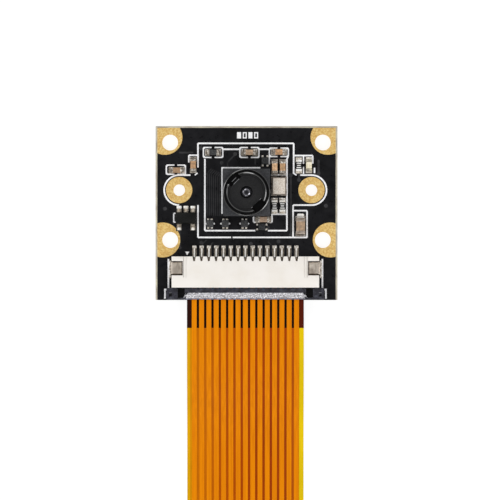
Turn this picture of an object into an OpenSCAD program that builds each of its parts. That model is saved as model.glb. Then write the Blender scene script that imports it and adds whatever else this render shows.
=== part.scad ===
/* [Board] */
// Width of the board, left to right
board_w = 25; // [24.6:0.1:30]
// Length of the board, from the code edge to the cable edge
board_l = 23.9; // [23.6:0.1:30]
// Thickness of the board with both solder masks
board_t = 1; // [0.8:0.1:1.6]
// Thickness of each solder mask
mask_t = 0.03; // [0.02:0.01:0.05]
// Run of the slope that scoring leaves along three edges
score_w = 0.25; // [0.1:0.05:0.35]
// Depth of the score in each face
score_d = 0.3; // [0.1:0.05:0.35]
// Height of the pads and the printed legend over the mask
pad_rise = 0.02; // [0.01:0.01:0.04]

/* [Mounting holes] */
// Bore of the four corner holes
corner_hole_d = 2.2; // [1.8:0.1:2.4]
// From the side edges to the centres of the corner holes
corner_inset_x = 2; // [1.9:0.05:2.3]
// From the code edge to the centres of the upper holes
upper_inset = 2.25; // [2:0.05:2.6]
// From the cable edge to the centres of the lower holes
lower_inset = 8.25; // [8:0.05:8.7]
// Radius of the gold land about a corner hole
corner_land_r = 2.4; // [2.2:0.1:2.6]
// Bore of the two side holes
side_hole_d = 1.6; // [1.2:0.1:2]
// Spacing of the side holes across the board
side_pitch = 18.18; // [17.8:0.02:18.6]
// Height of the side holes above the board's middle
side_hole_y = 3.15; // [2.9:0.05:3.3]
// Outer diameter of the gold ring about a side hole
side_ring_d = 3.62; // [3:0.02:3.8]
// Wall of the plating inside each hole
plating_t = 0.04; // [0.02:0.01:0.08]

/* [Lens] */
// Height of the lens axis above the board's middle
lens_y = 2.75; // [2.6:0.05:2.9]
// Side of the square lens holder
holder_w = 6.4; // [6.2:0.05:6.6]
// Height of the lens holder over the board
holder_h = 4.2; // [3.8:0.1:5]
// Side of the chamber for the sensor under the holder
chamber_w = 5.6; // [5.2:0.1:5.8]
// Height of the sensor chamber
chamber_h = 1.5; // [1.2:0.1:1.7]
// Diameter of the threaded shank of the barrel
shank_d = 5; // [4.6:0.1:5.2]
// Diameter of the barrel's head
head_d = 6.06; // [5.8:0.02:6.2]
// Height of the barrel's head
head_h = 1.4; // [1.1:0.1:1.8]
// Inner diameter of the raised rim of the head
rim_d = 5.1; // [4.8:0.1:5.4]
// Depth of the face inside the rim
rim_depth = 0.25; // [0.1:0.05:0.4]
// Width of the two focusing notches in the rim
notch_w = 1.9; // [1.4:0.1:2.2]
// Diameter of the front aperture
aperture_d = 1.65; // [1.2:0.05:2]
// Diameter of the three lens elements
element_d = 3.6; // [3.2:0.1:3.8]
// Thickness of one lens element at its rim
element_t = 0.6; // [0.4:0.05:0.65]
// Side of the square infrared filter
filter_w = 4.6; // [4.2:0.1:4.8]
// Thickness of the infrared filter
filter_t = 0.3; // [0.2:0.05:0.4]
// Width of the image sensor
sensor_w = 5; // [4.4:0.1:5.1]
// Length of the image sensor
sensor_l = 4.6; // [4.2:0.1:5]
// Thickness of the image sensor
sensor_t = 0.4; // [0.3:0.05:0.6]

/* [Connector] */
// Number of contacts and of ribbon conductors
contacts = 15; // [11:1:15]
// Spacing of the contacts
pitch = 1; // [0.8:0.05:1.05]
// Offset of the connector from the board's middle, to the right
conn_x = -0.15; // [-0.3:0.05:0.1]
// Width of the housing
housing_w = 20.15; // [19.8:0.05:21]
// Depth of the housing
housing_l = 4.24; // [4:0.04:4.6]
// Height of the housing
housing_h = 2.3; // [2.2:0.1:3]
// Depth of the latch in front of the housing
latch_l = 1.64; // [1.4:0.04:1.8]
// Height of the latch's lip over the board
lip_h = 2.1; // [1.9:0.1:2.6]
// Height of the latch's ears over the board
ear_h = 1.75; // [1.5:0.05:2.1]
// How far each ear of the latch reaches past the housing
ear_out = 0.72; // [0.5:0.02:1]
// How far the closed latch stops short of the board's edge
latch_inset = 0.1; // [0.05:0.05:0.3]
// Travel of the latch from closed to open
latch_travel = 1.2; // [0.8:0.1:1.3]
// Gap between the latch and what it slides past
running_gap = 0.08; // [0.05:0.01:0.1]
// Width of a contact
contact_w = 0.35; // [0.25:0.05:0.4]
// Thickness of a contact's foot
contact_t = 0.2; // [0.15:0.05:0.25]
// Length of a contact's foot behind the housing
foot_l = 1.4; // [1:0.1:1.5]

/* [Ribbon cable] */
// Width of the ribbon
ribbon_w = 16; // [15.5:0.1:16.1]
// Thickness of the ribbon's film
film_t = 0.16; // [0.1:0.01:0.18]
// Width of a conductor
conductor_w = 0.7; // [0.5:0.05:0.75]
// Thickness of a conductor over the film
conductor_t = 0.04; // [0.02:0.01:0.05]
// Thickness of the stiffener under each end
stiffener_t = 0.18; // [0.1:0.01:0.2]
// Reach of the stiffener past the board's edge
stiffener_out = 3.8; // [3:0.1:4.2]
// Length of the stiffener at the free end
far_stiffener_l = 6; // [4:0.5:7]
// Length of the bare contacts at each end of the ribbon
bare_l = 1.8; // [1.2:0.1:2.2]

/* [Parts on the board] */
// Length of a small chip part
chip_l = 1.6; // [1.4:0.05:1.7]
// Width of a small chip part
chip_w = 0.8; // [0.6:0.05:0.85]
// Height of a small capacitor
cap_h = 0.8; // [0.6:0.05:0.9]
// Height of a chip resistor
res_h = 0.45; // [0.35:0.05:0.55]
// Length of the metal end of a chip part
end_l = 0.32; // [0.2:0.02:0.4]
// Length of the metal end of the large capacitor
big_end_l = 0.5; // [0.3:0.05:0.6]
// Thickness of that metal over the ceramic
end_t = 0.03; // [0.02:0.01:0.05]
// Length of the large capacitor
big_cap_l = 2.2; // [1.9:0.05:2.4]
// Width and height of the large capacitor
big_cap_w = 1.25; // [1:0.05:1.35]
// Length of the voltage regulator's body
reg_l = 2.9; // [2.7:0.05:3]
// Width of the voltage regulator's body
reg_w = 1.6; // [1.4:0.05:1.7]
// Height of the voltage regulator's body
reg_h = 1.1; // [0.9:0.05:1.3]
// Spacing of the regulator's leads
reg_pitch = 0.95; // [0.85:0.05:1]
// Width of a regulator lead
reg_lead_w = 0.4; // [0.3:0.05:0.5]
// Width of the oscillator
osc_w = 2; // [1.8:0.05:2.1]
// Length of the oscillator
osc_l = 2.5; // [2.2:0.05:2.6]
// Height of the oscillator with its lid
osc_h = 0.75; // [0.6:0.05:1]
// Width of a choke
choke_w = 0.96; // [0.8:0.02:1.1]
// Length of a choke's body
choke_l = 0.95; // [0.8:0.05:1.1]
// Height of a choke
choke_h = 0.85; // [0.6:0.05:1]
// Side of a small transistor's body
trans_w = 1; // [0.8:0.05:1.1]
// Height of a small transistor
trans_h = 0.5; // [0.4:0.05:0.7]
// Height of the indicator lamp
led_h = 0.6; // [0.5:0.05:0.8]
// Line width of the printed legend
line_w = 0.22; // [0.16:0.02:0.3]

/* [Hidden] */
$fn = 72;

// Levels above the surface that the board lies on
top_z = board_t;
seat_z = top_z + pad_rise;
// A cut runs this far past the faces that it opens
through = 1;

// Outline of the flat faces, inside the scored edges
flat_x = board_w / 2 - score_w;
flat_top = board_l / 2 - score_w;
flat_bottom = -board_l / 2;

// Holes
corner_x = board_w / 2 - corner_inset_x;
upper_y = board_l / 2 - upper_inset;
lower_y = lower_inset - board_l / 2;
// Bare mask kept between a hole's land and the lands of the parts
land_gap = 0.12;
// The pair of side holes sits this far to the left of the board's middle
side_hole_shift = -0.16;
// The lands reach outwards from their holes, towards the board's edges
upper_land_shift = 0.7;
lower_land_shift = 1;

// Lens stack, upwards from the board
filter_z = top_z + chamber_h;
throat_z = filter_z + filter_t;
throat_h = 0.3;
throat_d = 4;
thread_gap = 0.03;
head_z = top_z + holder_h + 0.1;
shank_z = throat_z + throat_h + 0.15;
face_z = head_z + head_h - rim_depth;
bore_top = face_z - 0.55;
// The notches start this far inside the rim
notch_in = 0.6;
retainer_t = 0.3;
element_lift = 0.02;

// Tin over the bare ends of the ribbon's conductors
tin_t = 0.02;

// Connector, from the cable edge backwards
latch_y = -board_l / 2 + latch_inset;
mouth_y = latch_y + latch_l;
rear_y = mouth_y + housing_l;
notch_l = 0.79;
slot_w = contact_w + 0.1;
slot_end = rear_y - notch_l;
cavity_wall = 1.55;
cavity_y = rear_y - cavity_wall;
floor_t = 0.42;
tongue_t = 0.35;
cable_z = top_z + floor_t + tongue_t + 2 * running_gap;
film_z = cable_z + stiffener_t;
film_top = film_z + film_t;
conductor_top = film_top + conductor_t;
beam_z = conductor_top + 0.14;
beam_t = 0.2;
roof_z = beam_z + beam_t + 0.06;
cable_side_gap = 0.15;
window_x = 8.55;
window_front = 1.66;
window_wall = 0.62;
window_y = [mouth_y + window_front, rear_y - window_wall];
arm_x = [8.67, 9.03];
arm_levels = [0.6, 1.3];
arm_z = [top_z + arm_levels[0], top_z + arm_levels[1]];
arm_spare = 0.2;
arm_reach = latch_travel + arm_spare;
lip_top = top_z + lip_h;
ear_top = top_z + ear_h;
// Pocket and dimple in the top of each ear, from the opening outwards and from the front back
pocket_x = [0.3, 1.1];
pocket_y = 0.55;
dimple_x = [1.9, 2.3];
dimple_y = [0.4, 0.9];
dimple_deep = 0.5;

film_middle = film_z + film_t / 2;
ground_middle = film_t / 2;
drop = film_middle - ground_middle;
// Share of the drop that the stiffener under the free end holds the film up by
end_share = stiffener_t / drop;
// Middle line of the ribbon's film, from inside the connector to its free end. Each point is
// the distance past the board's cable edge and the share of the drop that is still to come.
ribbon_points = [[-4.15, 1], [-3, 1], [-1, 1], [1, 1], [3, 1], [4.5, 1], [6.25, 0.98], [8.05, 0.92],
    [9.85, 0.82], [11.65, 0.68], [13.45, 0.5], [15.25, 0.32], [17.05, 0.18], [18.85, 0.08],
    [20.65, 0.02], [22.45, 0], [35, 0], [50, 0], [70, 0], [90, 0], [110, 0], [125, 0],
    [133, end_share / 2], [139, end_share], [145.65, end_share]];
ribbon_route = [for (p = ribbon_points) [-board_l / 2 - p[0], ground_middle + p[1] * drop]];
route_start = ribbon_route[0];
route_end = ribbon_route[len(ribbon_route) - 1];

// Places on the board: X, Y and turn
capacitor_places = [[-9.58, 5.87, 0], [-7.32, 6.6, 90], [0.4, 8.32, 0], [4.45, 8.37, 0],
    [3.87, 6.29, 90], [4.97, 6.29, 90], [2.32, -0.89, 0]];
large_cap_place = [7.42, -1.8, 90];
bead_place = [-4.59, 8.32, 0];
resistor_places = [[3.84, 0.97, 90], [4.92, 0.97, 90], [7.2, 6.53, 90]];
lamp_place = [8.57, 6.56, 90];
choke_places = [[-5.01, -1.46, 0], [-2.92, -1.46, 0], [-0.3, -1.46, 0]];
transistor_places = [[2.55, 7.16, 0], [2.1, -1.9, 90]];
regulator_place = [-8.31, -0.71, 0];
oscillator_place = [4.45, 3.69, 0];

// Lands reach out from under leads and contacts by these
land_tuck = 0.04;
land_edge = 0.12;
// Lands of a chip part reach under it and out past its end
land_in = 0.35;
land_out = 0.3;
land_side = 0.05;
// From the code edge to the foot of the row of batch blocks
batch_inset = 1.71;
// Start, spacing, width and height of the batch blocks, and the margin round their openings
batch_x = -1.3;
batch_pitch = 0.78;
batch_size = [0.56, 0.87];
batch_wall = 0.16;
// Fine legend lines, their rounded corners and the gap in the long sides of the part boxes
fine_w = 0.18;
box_round = 0.25;
box_gap = 0.4;
// Lines beside the lens holder: clear of its left side, clear of its code side, and their ends
lens_line_left = 0.08;
lens_line_top = 0.36;
lens_line_to = 1.9;
lens_line_down = 2.85;
// Dots beside the chokes
dot_d = 0.26;
dot_out = 0.08;
// Mark beside the first contact: half width, half height and its place off the contact
mark_half = [0.3, 0.25];
mark_off = [-1, 0.42];
// Chokes and transistors
terminal_w = 0.28;
terminal_out = 0.18;
terminal_pitch = 0.48;
lead_w = 0.26;
lead_out = 0.22;
lead_pitch = 0.66;
// Gull-wing leads of the regulator
reg_foot = 0.4;
reg_reach = 0.8;
reg_lead_t = 0.14;
reg_stand = 0.08;
reg_knee_z = 0.55;
osc_lid_inset = 0.16;
osc_lid_t = 0.25;

module block(x, y, z) {
    translate([x[0], y[0], z[0]])
        cube([x[1] - x[0], y[1] - y[0], z[1] - z[0]]);
}

module rectangle(x, y) {
    translate([x[0], y[0]])
        square([x[1] - x[0], y[1] - y[0]]);
}

module at_place(place) {
    translate([place[0], place[1], 0])
        rotate([0, 0, place[2]])
            children();
}

// Stands an outline of Y and Z up and runs it along X
module run_x(x) {
    translate([x[0], 0, 0])
        rotate([90, 0, 90])
            linear_extrude(x[1] - x[0])
                children();
}

// Stands an outline of X and Z up and runs it along Y
module run_y(y) {
    translate([0, y[1], 0])
        rotate([90, 0, 0])
            linear_extrude(y[1] - y[0])
                children();
}

module at_corner_holes() {
    for (side = [-1, 1])
        for (y = [upper_y, lower_y])
            translate([side * corner_x, y])
                children();
}

function side_hole_x(side) = side * side_pitch / 2 + side_hole_shift;

module at_side_holes() {
    for (side = [-1, 1])
        translate([side_hole_x(side), side_hole_y])
            children();
}

// The same places, with +X turned towards the nearer edge of the board
module at_side_holes_outward() {
    for (side = [-1, 1])
        translate([side_hole_x(side), side_hole_y])
            mirror([side < 0 ? 1 : 0, 0])
                children();
}

module all_holes(extra) {
    at_corner_holes()
        circle(d = corner_hole_d + extra);
    at_side_holes()
        circle(d = side_hole_d + extra);
}

module flat_face() {
    rectangle([-flat_x, flat_x], [flat_bottom, flat_top]);
}

// The lands keep clear of the parts' own lands
module hole_lands() {
    difference() {
        intersection() {
            flat_face();
            full_hole_lands();
        }
        part_lands(land_gap);
    }
}

module full_hole_lands() {
    for (side = [-1, 1]) {
        translate([side * (corner_x + upper_land_shift), upper_y + upper_land_shift])
            circle(r = corner_land_r);
        translate([side * (corner_x + lower_land_shift), lower_y])
            circle(r = corner_land_r);
    }
    at_side_holes()
        circle(d = side_ring_d);
}

// Every land can be drawn larger by a margin all round
module chip_lands(length, width, margin) {
    for (side = [0, 180])
        rotate(side)
            rectangle([length / 2 - land_in - margin, length / 2 + land_out + margin],
                [-width / 2 - land_side - margin, width / 2 + land_side + margin]);
}

// A pair of lands on each long side of a small part with four leads
module four_lands(lands_pitch, land_w, from, to, margin) {
    half = land_w / 2 + margin;
    for (side = [0, 180], x = [-1, 1])
        rotate(side)
            rectangle([x * lands_pitch / 2 - half, x * lands_pitch / 2 + half],
                [from - margin, to + margin]);
}

module regulator_lands(margin) {
    half = reg_lead_w / 2 + land_edge + margin;
    near = reg_w / 2 - land_tuck - margin;
    far = reg_w / 2 + reg_reach + land_edge / 2 + margin;
    for (i = [-1, 0, 1])
        rectangle([i * reg_pitch - half, i * reg_pitch + half], [near, far]);
    for (i = [-1, 1])
        rectangle([i * reg_pitch - half, i * reg_pitch + half], [-far, -near]);
}

module oscillator_lands(margin) {
    for (x = [-1, 1], y = [-1, 1])
        translate([x * (osc_w / 2 - 0.32), y * (osc_l / 2 - 0.38)])
            square([0.8 + 2 * margin, 0.9 + 2 * margin], center = true);
}

module contact_lands(margin) {
    half = contact_w / 2 + land_edge + margin;
    for (i = [0 : contacts - 1])
        rectangle([contact_x(i) - half, contact_x(i) + half],
            [rear_y + land_tuck - margin, rear_y + foot_l + land_edge + margin]);
}

module hold_down_lands(margin) {
    translate([conn_x, 0])
        both_ends()
            rectangle([tab_foot_x[0] - 0.15 - margin, tab_foot_x[1] + 0.1 + margin],
                [tab_y[0] + 0.1 - margin, tab_y[1] - 0.1 + margin]);
}

module part_lands(margin = 0) {
    for (place = concat(capacitor_places, resistor_places, [bead_place, lamp_place]))
        at_place(place)
            chip_lands(chip_l, chip_w, margin);
    at_place(large_cap_place)
        chip_lands(big_cap_l, big_cap_w, margin);
    for (place = choke_places)
        at_place(place)
            four_lands(terminal_pitch, terminal_w, choke_l / 2 - 0.1,
                choke_l / 2 + terminal_out + 0.06, margin);
    for (place = transistor_places)
        at_place(place)
            four_lands(lead_pitch, lead_w, trans_w / 2 - 0.1, trans_w / 2 + lead_out + 0.06, margin);
    at_place(regulator_place)
        regulator_lands(margin);
    at_place(oscillator_place)
        oscillator_lands(margin);
    contact_lands(margin);
    hold_down_lands(margin);
}

module board_laminate() {
    z = [mask_t, board_t - mask_t];
    x_edge = board_w / 2;
    y_edge = board_l / 2;
    color("#b9ae97")
        difference() {
            intersection() {
                run_y([-y_edge, y_edge])
                    polygon([[-flat_x, z[0]], [flat_x, z[0]], [x_edge, z[0] + score_d],
                        [x_edge, z[1] - score_d], [flat_x, z[1]], [-flat_x, z[1]],
                        [-x_edge, z[1] - score_d], [-x_edge, z[0] + score_d]]);
                run_x([-x_edge, x_edge])
                    polygon([[flat_bottom, z[0]], [flat_top, z[0]], [y_edge, z[0] + score_d],
                        [y_edge, z[1] - score_d], [flat_top, z[1]], [flat_bottom, z[1]]]);
            }
            translate([0, 0, -through])
                linear_extrude(board_t + 2 * through)
                    all_holes(2 * plating_t);
        }
}

module front_solder_mask() {
    color("#17171a")
        translate([0, 0, top_z - mask_t])
            linear_extrude(mask_t)
                difference() {
                    flat_face();
                    hole_lands();
                    part_lands();
                }
}

module back_solder_mask() {
    color("#17171a")
        linear_extrude(mask_t)
            difference() {
                flat_face();
                hole_lands();
            }
}

module plated_holes() {
    color("#dcb162") {
        difference() {
            union() {
                linear_extrude(mask_t)
                    hole_lands();
                translate([0, 0, top_z - mask_t])
                    linear_extrude(mask_t + pad_rise)
                        hole_lands();
                linear_extrude(seat_z)
                    all_holes(2 * plating_t);
            }
            at_corner_holes()
                translate([0, 0, -through])
                    cylinder(d = corner_hole_d, h = board_t + 2 * through);
            at_side_holes()
                translate([0, 0, -through])
                    cylinder(d = side_hole_d, h = board_t + 2 * through);
        }
    }
}

module component_pads() {
    color("#d9d4c2")
        translate([0, 0, top_z - mask_t])
            linear_extrude(mask_t + pad_rise)
                part_lands();
}

// Printed legend: straight lines as [y, x from, x to] and [x, y from, y to]
across_lines = [[9.57, -6.67, 6.48], [-3.35, -6.67, -2.12], [-3.35, -1.9, 8.31],
    [0.32, 6.5, 8.31], [-2.42, -5.72, 1.2], [-2.42, 2.94, 5.55], [8.76, -3.32, -0.95],
    [8.76, 1.76, 3.14], [5.25, 3.39, 5.55], [-0.15, 3.56, 5.55], [7.89, 6.57, 9.08],
    [7.93, -7.92, -6.67], [-1.26, 0.98, 1.25], [-1.26, 3.05, 3.49]];
along_lines = [[-6.67, 6.25, 9.57], [-6.67, -3.35, 1.1], [6.48, 5.4, 9.57], [6.4, -3.35, 1.09],
    [8.31, -3.35, 0.32], [-5.72, -2.42, 7.45], [5.55, -2.42, 7.45],
    [3.49, -1.26, -0.15], [0.98, -1.26, -0.5], [-7.92, 6.95, 7.93], [9.08, 6.78, 7.89],
    [9.34, 5.48, 6.22]];
// The same in finer lines
fine_across_lines = [[-0.04, -10, -9.72], [-1.26, -10, -9.72]];
fine_along_lines = [[3.14, 6.7, 8.76], [-10, -1.26, -0.04], [7.83, 6.77, 7.8], [7.83, 5.38, 6.35]];
// Short slanting lines, as [x from, y from, x to, y to]
slanting_lines = [[6.48, 5.45, 6.88, 5.2], [-7.1, 5.2, -6.72, 5.52], [5.74, 7.75, 5.55, 7.45]];
// Boxes about single parts, as [centre x, centre y, width, height], open in the middle of their long sides
part_boxes = [[-4.59, 8.32, 2.66, 1.36], [0.4, 8.32, 2.62, 1.36], [-9.7, 5.95, 2.62, 1.26],
    [4.45, 8.34, 2.6, 1.16]];

module straight_lines(across, along, width) {
    for (line = across)
        rectangle([line[1], line[2]], [line[0] - width / 2, line[0] + width / 2]);
    for (line = along)
        rectangle([line[0] - width / 2, line[0] + width / 2], [line[1], line[2]]);
}

module legend_lines() {
    straight_lines(across_lines, along_lines, line_w);
    straight_lines(fine_across_lines, fine_along_lines, fine_w);
    for (line = slanting_lines) {
        run = [line[2] - line[0], line[3] - line[1]];
        translate([line[0], line[1]])
            rotate(atan2(run[1], run[0]))
                translate([0, -fine_w / 2])
                    square([norm(run), fine_w]);
    }
}

module rounded_square(size) {
    square([size[0] - 2 * box_round, size[1]], center = true);
    square([size[0], size[1] - 2 * box_round], center = true);
    for (x = [-1, 1], y = [-1, 1])
        translate([x * (size[0] / 2 - box_round), y * (size[1] / 2 - box_round)])
            circle(r = box_round);
}

module legend_boxes() {
    for (box = part_boxes)
        translate([box[0], box[1]])
            difference() {
                rounded_square([box[2] + fine_w, box[3] + fine_w]);
                rounded_square([box[2] - fine_w, box[3] - fine_w]);
                square([box_gap, box[3] + 1], center = true);
            }
}

// Lines beside the connector, stepping out round the ears of its latch
module connector_outline() {
    side_x = housing_w / 2 + 0.5;
    ear_x = side_x + 0.48;
    step_y = mouth_y - 0.3;
    translate([conn_x, 0])
        both_ends() {
            rectangle([side_x - line_w / 2, side_x + line_w / 2], [step_y, rear_y - 0.33]);
            rectangle([side_x - line_w / 2, ear_x + line_w / 2],
                [step_y - line_w / 2, step_y + line_w / 2]);
            rectangle([ear_x - line_w / 2, ear_x + line_w / 2], [latch_y + 0.08, step_y]);
        }
}

// Half rings about the outer sides of the side holes, with the lines that lead to them
module side_hole_lines() {
    arc_r = side_ring_d / 2 + 0.25;
    outer = arc_r + line_w / 2;
    inner = arc_r - line_w / 2;
    upper_run = 1.55;
    lower_run = 2.5;
    at_side_holes_outward() {
        difference() {
            circle(r = outer);
            circle(r = inner);
            rectangle([-outer - 1, 0], [-outer - 1, outer + 1]);
        }
        rectangle([-upper_run, 0], [inner, outer]);
    }
    translate([side_hole_x(1), side_hole_y])
        rectangle([-lower_run, 0], [-outer, -inner]);
}

// A plain row of blocks where boards carry a batch code
module batch_blocks() {
    for (i = [0 : 3])
        translate([batch_x + batch_pitch * i, board_l / 2 - batch_inset])
            difference() {
                square(batch_size);
                if (i % 2 == 1)
                    translate([batch_wall, batch_wall])
                        square([batch_size[0] - 2 * batch_wall, batch_size[1] - 2 * batch_wall]);
            }
}

module lens_outline() {
    left = -holder_w / 2 - lens_line_left;
    top = lens_y + holder_w / 2 + lens_line_top;
    rectangle([left - fine_w, left], [lens_y - lens_line_down, top]);
    rectangle([left - fine_w, lens_line_to], [top - fine_w, top]);
}

module choke_dots() {
    for (place = choke_places, side = [-1, 1])
        translate([place[0] + side * (choke_w / 2 + dot_out), place[1]])
            circle(d = dot_d);
}

module pin_one_mark() {
    translate([contact_x(0) + mark_off[0], rear_y + mark_off[1]])
        polygon([[-mark_half[0], mark_half[1]], mark_half, [0, -mark_half[1]]]);
}

module printed_legend() {
    color("#e9e9ec")
        translate([0, 0, top_z])
            linear_extrude(pad_rise)
                difference() {
                    union() {
                        legend_lines();
                        legend_boxes();
                        side_hole_lines();
                        connector_outline();
                        batch_blocks();
                        lens_outline();
                        choke_dots();
                        pin_one_mark();
                    }
                    part_lands();
                    hole_lands();
                    translate([0, lens_y])
                        square(holder_w, center = true);
                }
}

// Wedge of solder against the end of a chip part
module end_fillet(length, width, rise) {
    for (side = [0, 180])
        rotate([0, 0, side])
            run_y([-width / 2, width / 2])
                polygon([[length / 2, seat_z], [length / 2 + land_out, seat_z],
                    [length / 2 + 0.3 * land_out, seat_z + 0.35 * rise], [length / 2, seat_z + rise]]);
}

module solder_fillets() {
    color("#c9cbd0") {
        for (place = concat(capacitor_places, [bead_place]))
            at_place(place)
                end_fillet(chip_l, chip_w, cap_h / 2);
        for (place = resistor_places)
            at_place(place)
                end_fillet(chip_l, chip_w, res_h / 2);
        at_place(lamp_place)
            end_fillet(chip_l, chip_w, led_h / 3);
        at_place(large_cap_place)
            end_fillet(big_cap_l, big_cap_w, big_cap_w / 2);
    }
}

module lens_holder() {
    bore_z = throat_z + throat_h;
    color("#1d1d20")
        translate([0, lens_y, 0])
            difference() {
                translate([-holder_w / 2, -holder_w / 2, top_z])
                    cube([holder_w, holder_w, holder_h]);
                translate([-chamber_w / 2, -chamber_w / 2, top_z - through])
                    cube([chamber_w, chamber_w, chamber_h + through]);
                translate([-filter_w / 2 - thread_gap, -filter_w / 2 - thread_gap, filter_z - through])
                    cube([filter_w + 2 * thread_gap, filter_w + 2 * thread_gap, filter_t + through]);
                translate([0, 0, throat_z - through])
                    cylinder(d = throat_d, h = throat_h + 2 * through);
                translate([0, 0, bore_z])
                    cylinder(d = shank_d + 2 * thread_gap, h = holder_h + through);
            }
}

module lens_barrel() {
    color("#141416")
        translate([0, lens_y, 0])
            difference() {
                union() {
                    translate([0, 0, head_z])
                        cylinder(d = head_d, h = head_h);
                    translate([0, 0, shank_z])
                        cylinder(d = shank_d, h = head_z - shank_z + 0.01);
                }
                translate([0, 0, face_z])
                    cylinder(d = rim_d, h = rim_depth + through);
                for (turn = [135, -45])
                    rotate([0, 0, turn])
                        translate([rim_d / 2 - notch_in, -notch_w / 2, face_z - rim_depth])
                            cube([head_d, notch_w, rim_depth * 2 + through]);
                translate([0, 0, shank_z - through])
                    cylinder(d = element_d + 2 * element_lift, h = bore_top - shank_z + through);
                translate([0, 0, bore_top - 0.01])
                    cylinder(d1 = aperture_d * 0.75, d2 = aperture_d, h = face_z - bore_top + 0.02);
            }
}

// A lens element's blank, the given number of places below the top of the bore
module element_blank(place) {
    translate([0, 0, bore_top - (place + 1) * element_t])
        cylinder(d = element_d, h = element_t);
}

// Ball whose cap of the given reach and rise stands on the given level
module cap_ball(reach, rise) {
    ball_r = (reach * reach + rise * rise) / (2 * rise);
    translate([0, 0, rise - ball_r])
        sphere(r = ball_r);
}

module front_lens() {
    reach = aperture_d * 0.375 - element_lift;
    color("#6a5d86")
        translate([0, lens_y, 0]) {
            element_blank(0);
            translate([0, 0, bore_top])
                intersection() {
                    cap_ball(reach, 0.12);
                    translate([0, 0, -0.01])
                        cylinder(r = reach, h = 0.2);
                }
        }
}

module middle_lens() {
    color("#8d93a8")
        translate([0, lens_y, 0])
            difference() {
                element_blank(1);
                translate([0, 0, bore_top - 2 * element_t])
                    cap_ball(element_d * 0.36, 0.25);
            }
}

module rear_lens() {
    color("#8d93a8")
        translate([0, lens_y, 0])
            difference() {
                element_blank(2);
                translate([0, 0, bore_top - 3 * element_t])
                    cap_ball(element_d * 0.3, 0.15);
            }
}

module lens_retainer() {
    color("#2a2a2c")
        translate([0, lens_y, bore_top - 3 * element_t - retainer_t])
            difference() {
                cylinder(d = element_d, h = retainer_t);
                translate([0, 0, -through])
                    cylinder(d = element_d * 0.7, h = retainer_t + 2 * through);
            }
}

module infrared_filter() {
    color("#7fa3a8")
        translate([-filter_w / 2, lens_y - filter_w / 2, filter_z])
            cube([filter_w, filter_w, filter_t]);
}

module image_sensor() {
    color("#4b4f58")
        translate([-sensor_w / 2, lens_y - sensor_l / 2, top_z])
            cube([sensor_w, sensor_l, sensor_t]);
}

// Middle of one contact, counted from the left
function contact_x(i) = conn_x + (i - (contacts - 1) / 2) * pitch;

tab_y = [window_y[0] + 0.12, window_y[1] - 0.08];
tab_foot_x = [housing_w / 2 - 0.22, housing_w / 2 + 0.3];
tab_t = 0.2;
tab_h = 1.5;
tab_top = top_z + tab_h;

// Whatever is drawn for the right end, also mirrored to the left
module both_ends() {
    for (side = [0, 1])
        mirror([side, 0, 0])
            children();
}

module connector_housing() {
    cable_half = ribbon_w / 2 + cable_side_gap;
    color("#ece8e0")
        translate([conn_x, 0, 0])
            difference() {
                block([-housing_w / 2, housing_w / 2], [mouth_y, rear_y], [top_z, top_z + housing_h]);
                block([-cable_half, cable_half], [mouth_y - through, cavity_y],
                    [top_z + floor_t, roof_z]);
                for (i = [0 : contacts - 1]) {
                    x = contact_x(i) - conn_x;
                    block([x - slot_w / 2, x + slot_w / 2], [slot_end, rear_y + through],
                        [top_z - through, top_z + housing_h + through]);
                    block([x - slot_w / 2, x + slot_w / 2], [cavity_y - 0.1, slot_end + 0.1],
                        [top_z + floor_t, roof_z]);
                }
                both_ends()
                    block([window_x, housing_w / 2 + through], window_y,
                        [top_z - through, top_z + housing_h + through]);
                both_ends()
                    block([arm_x[0] - running_gap, arm_x[1] + running_gap],
                        [mouth_y - through, window_y[0] + 0.1],
                        [arm_z[0] - running_gap, arm_z[1] + running_gap]);
            }
}

module connector_contacts() {
    tip_y = route_start[0] - bare_l + 0.4;
    color("#c3bda8")
        for (i = [0 : contacts - 1])
            run_x([contact_x(i) - contact_w / 2, contact_x(i) + contact_w / 2])
                polygon([[rear_y + foot_l, seat_z], [rear_y + foot_l, seat_z + contact_t],
                    [rear_y - 0.12, seat_z + contact_t], [rear_y - 0.2, beam_z + beam_t],
                    [tip_y, beam_z + beam_t], [tip_y, beam_z], [tip_y + 0.3, conductor_top + tin_t],
                    [tip_y + 0.5, conductor_top + tin_t], [tip_y + 0.8, beam_z],
                    [slot_end + 0.1, beam_z], [slot_end + 0.1, seat_z]]);
}

module hold_down() {
    z = [seat_z, seat_z + tab_t];
    plate_x = window_x + 0.06;
    color("#a9abab")
        run_y(tab_y)
            polygon([[tab_foot_x[0], z[0]], [tab_foot_x[1], z[0]], [tab_foot_x[1], z[1]],
                [tab_foot_x[0] + tab_t, z[1]], [tab_foot_x[0] + tab_t, tab_top],
                [plate_x, tab_top], [plate_x, tab_top - tab_t], [tab_foot_x[0], tab_top - tab_t]]);
}

module right_hold_down() {
    translate([conn_x, 0, 0])
        hold_down();
}

module left_hold_down() {
    translate([conn_x, 0, 0])
        mirror([1, 0, 0])
            hold_down();
}

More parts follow.
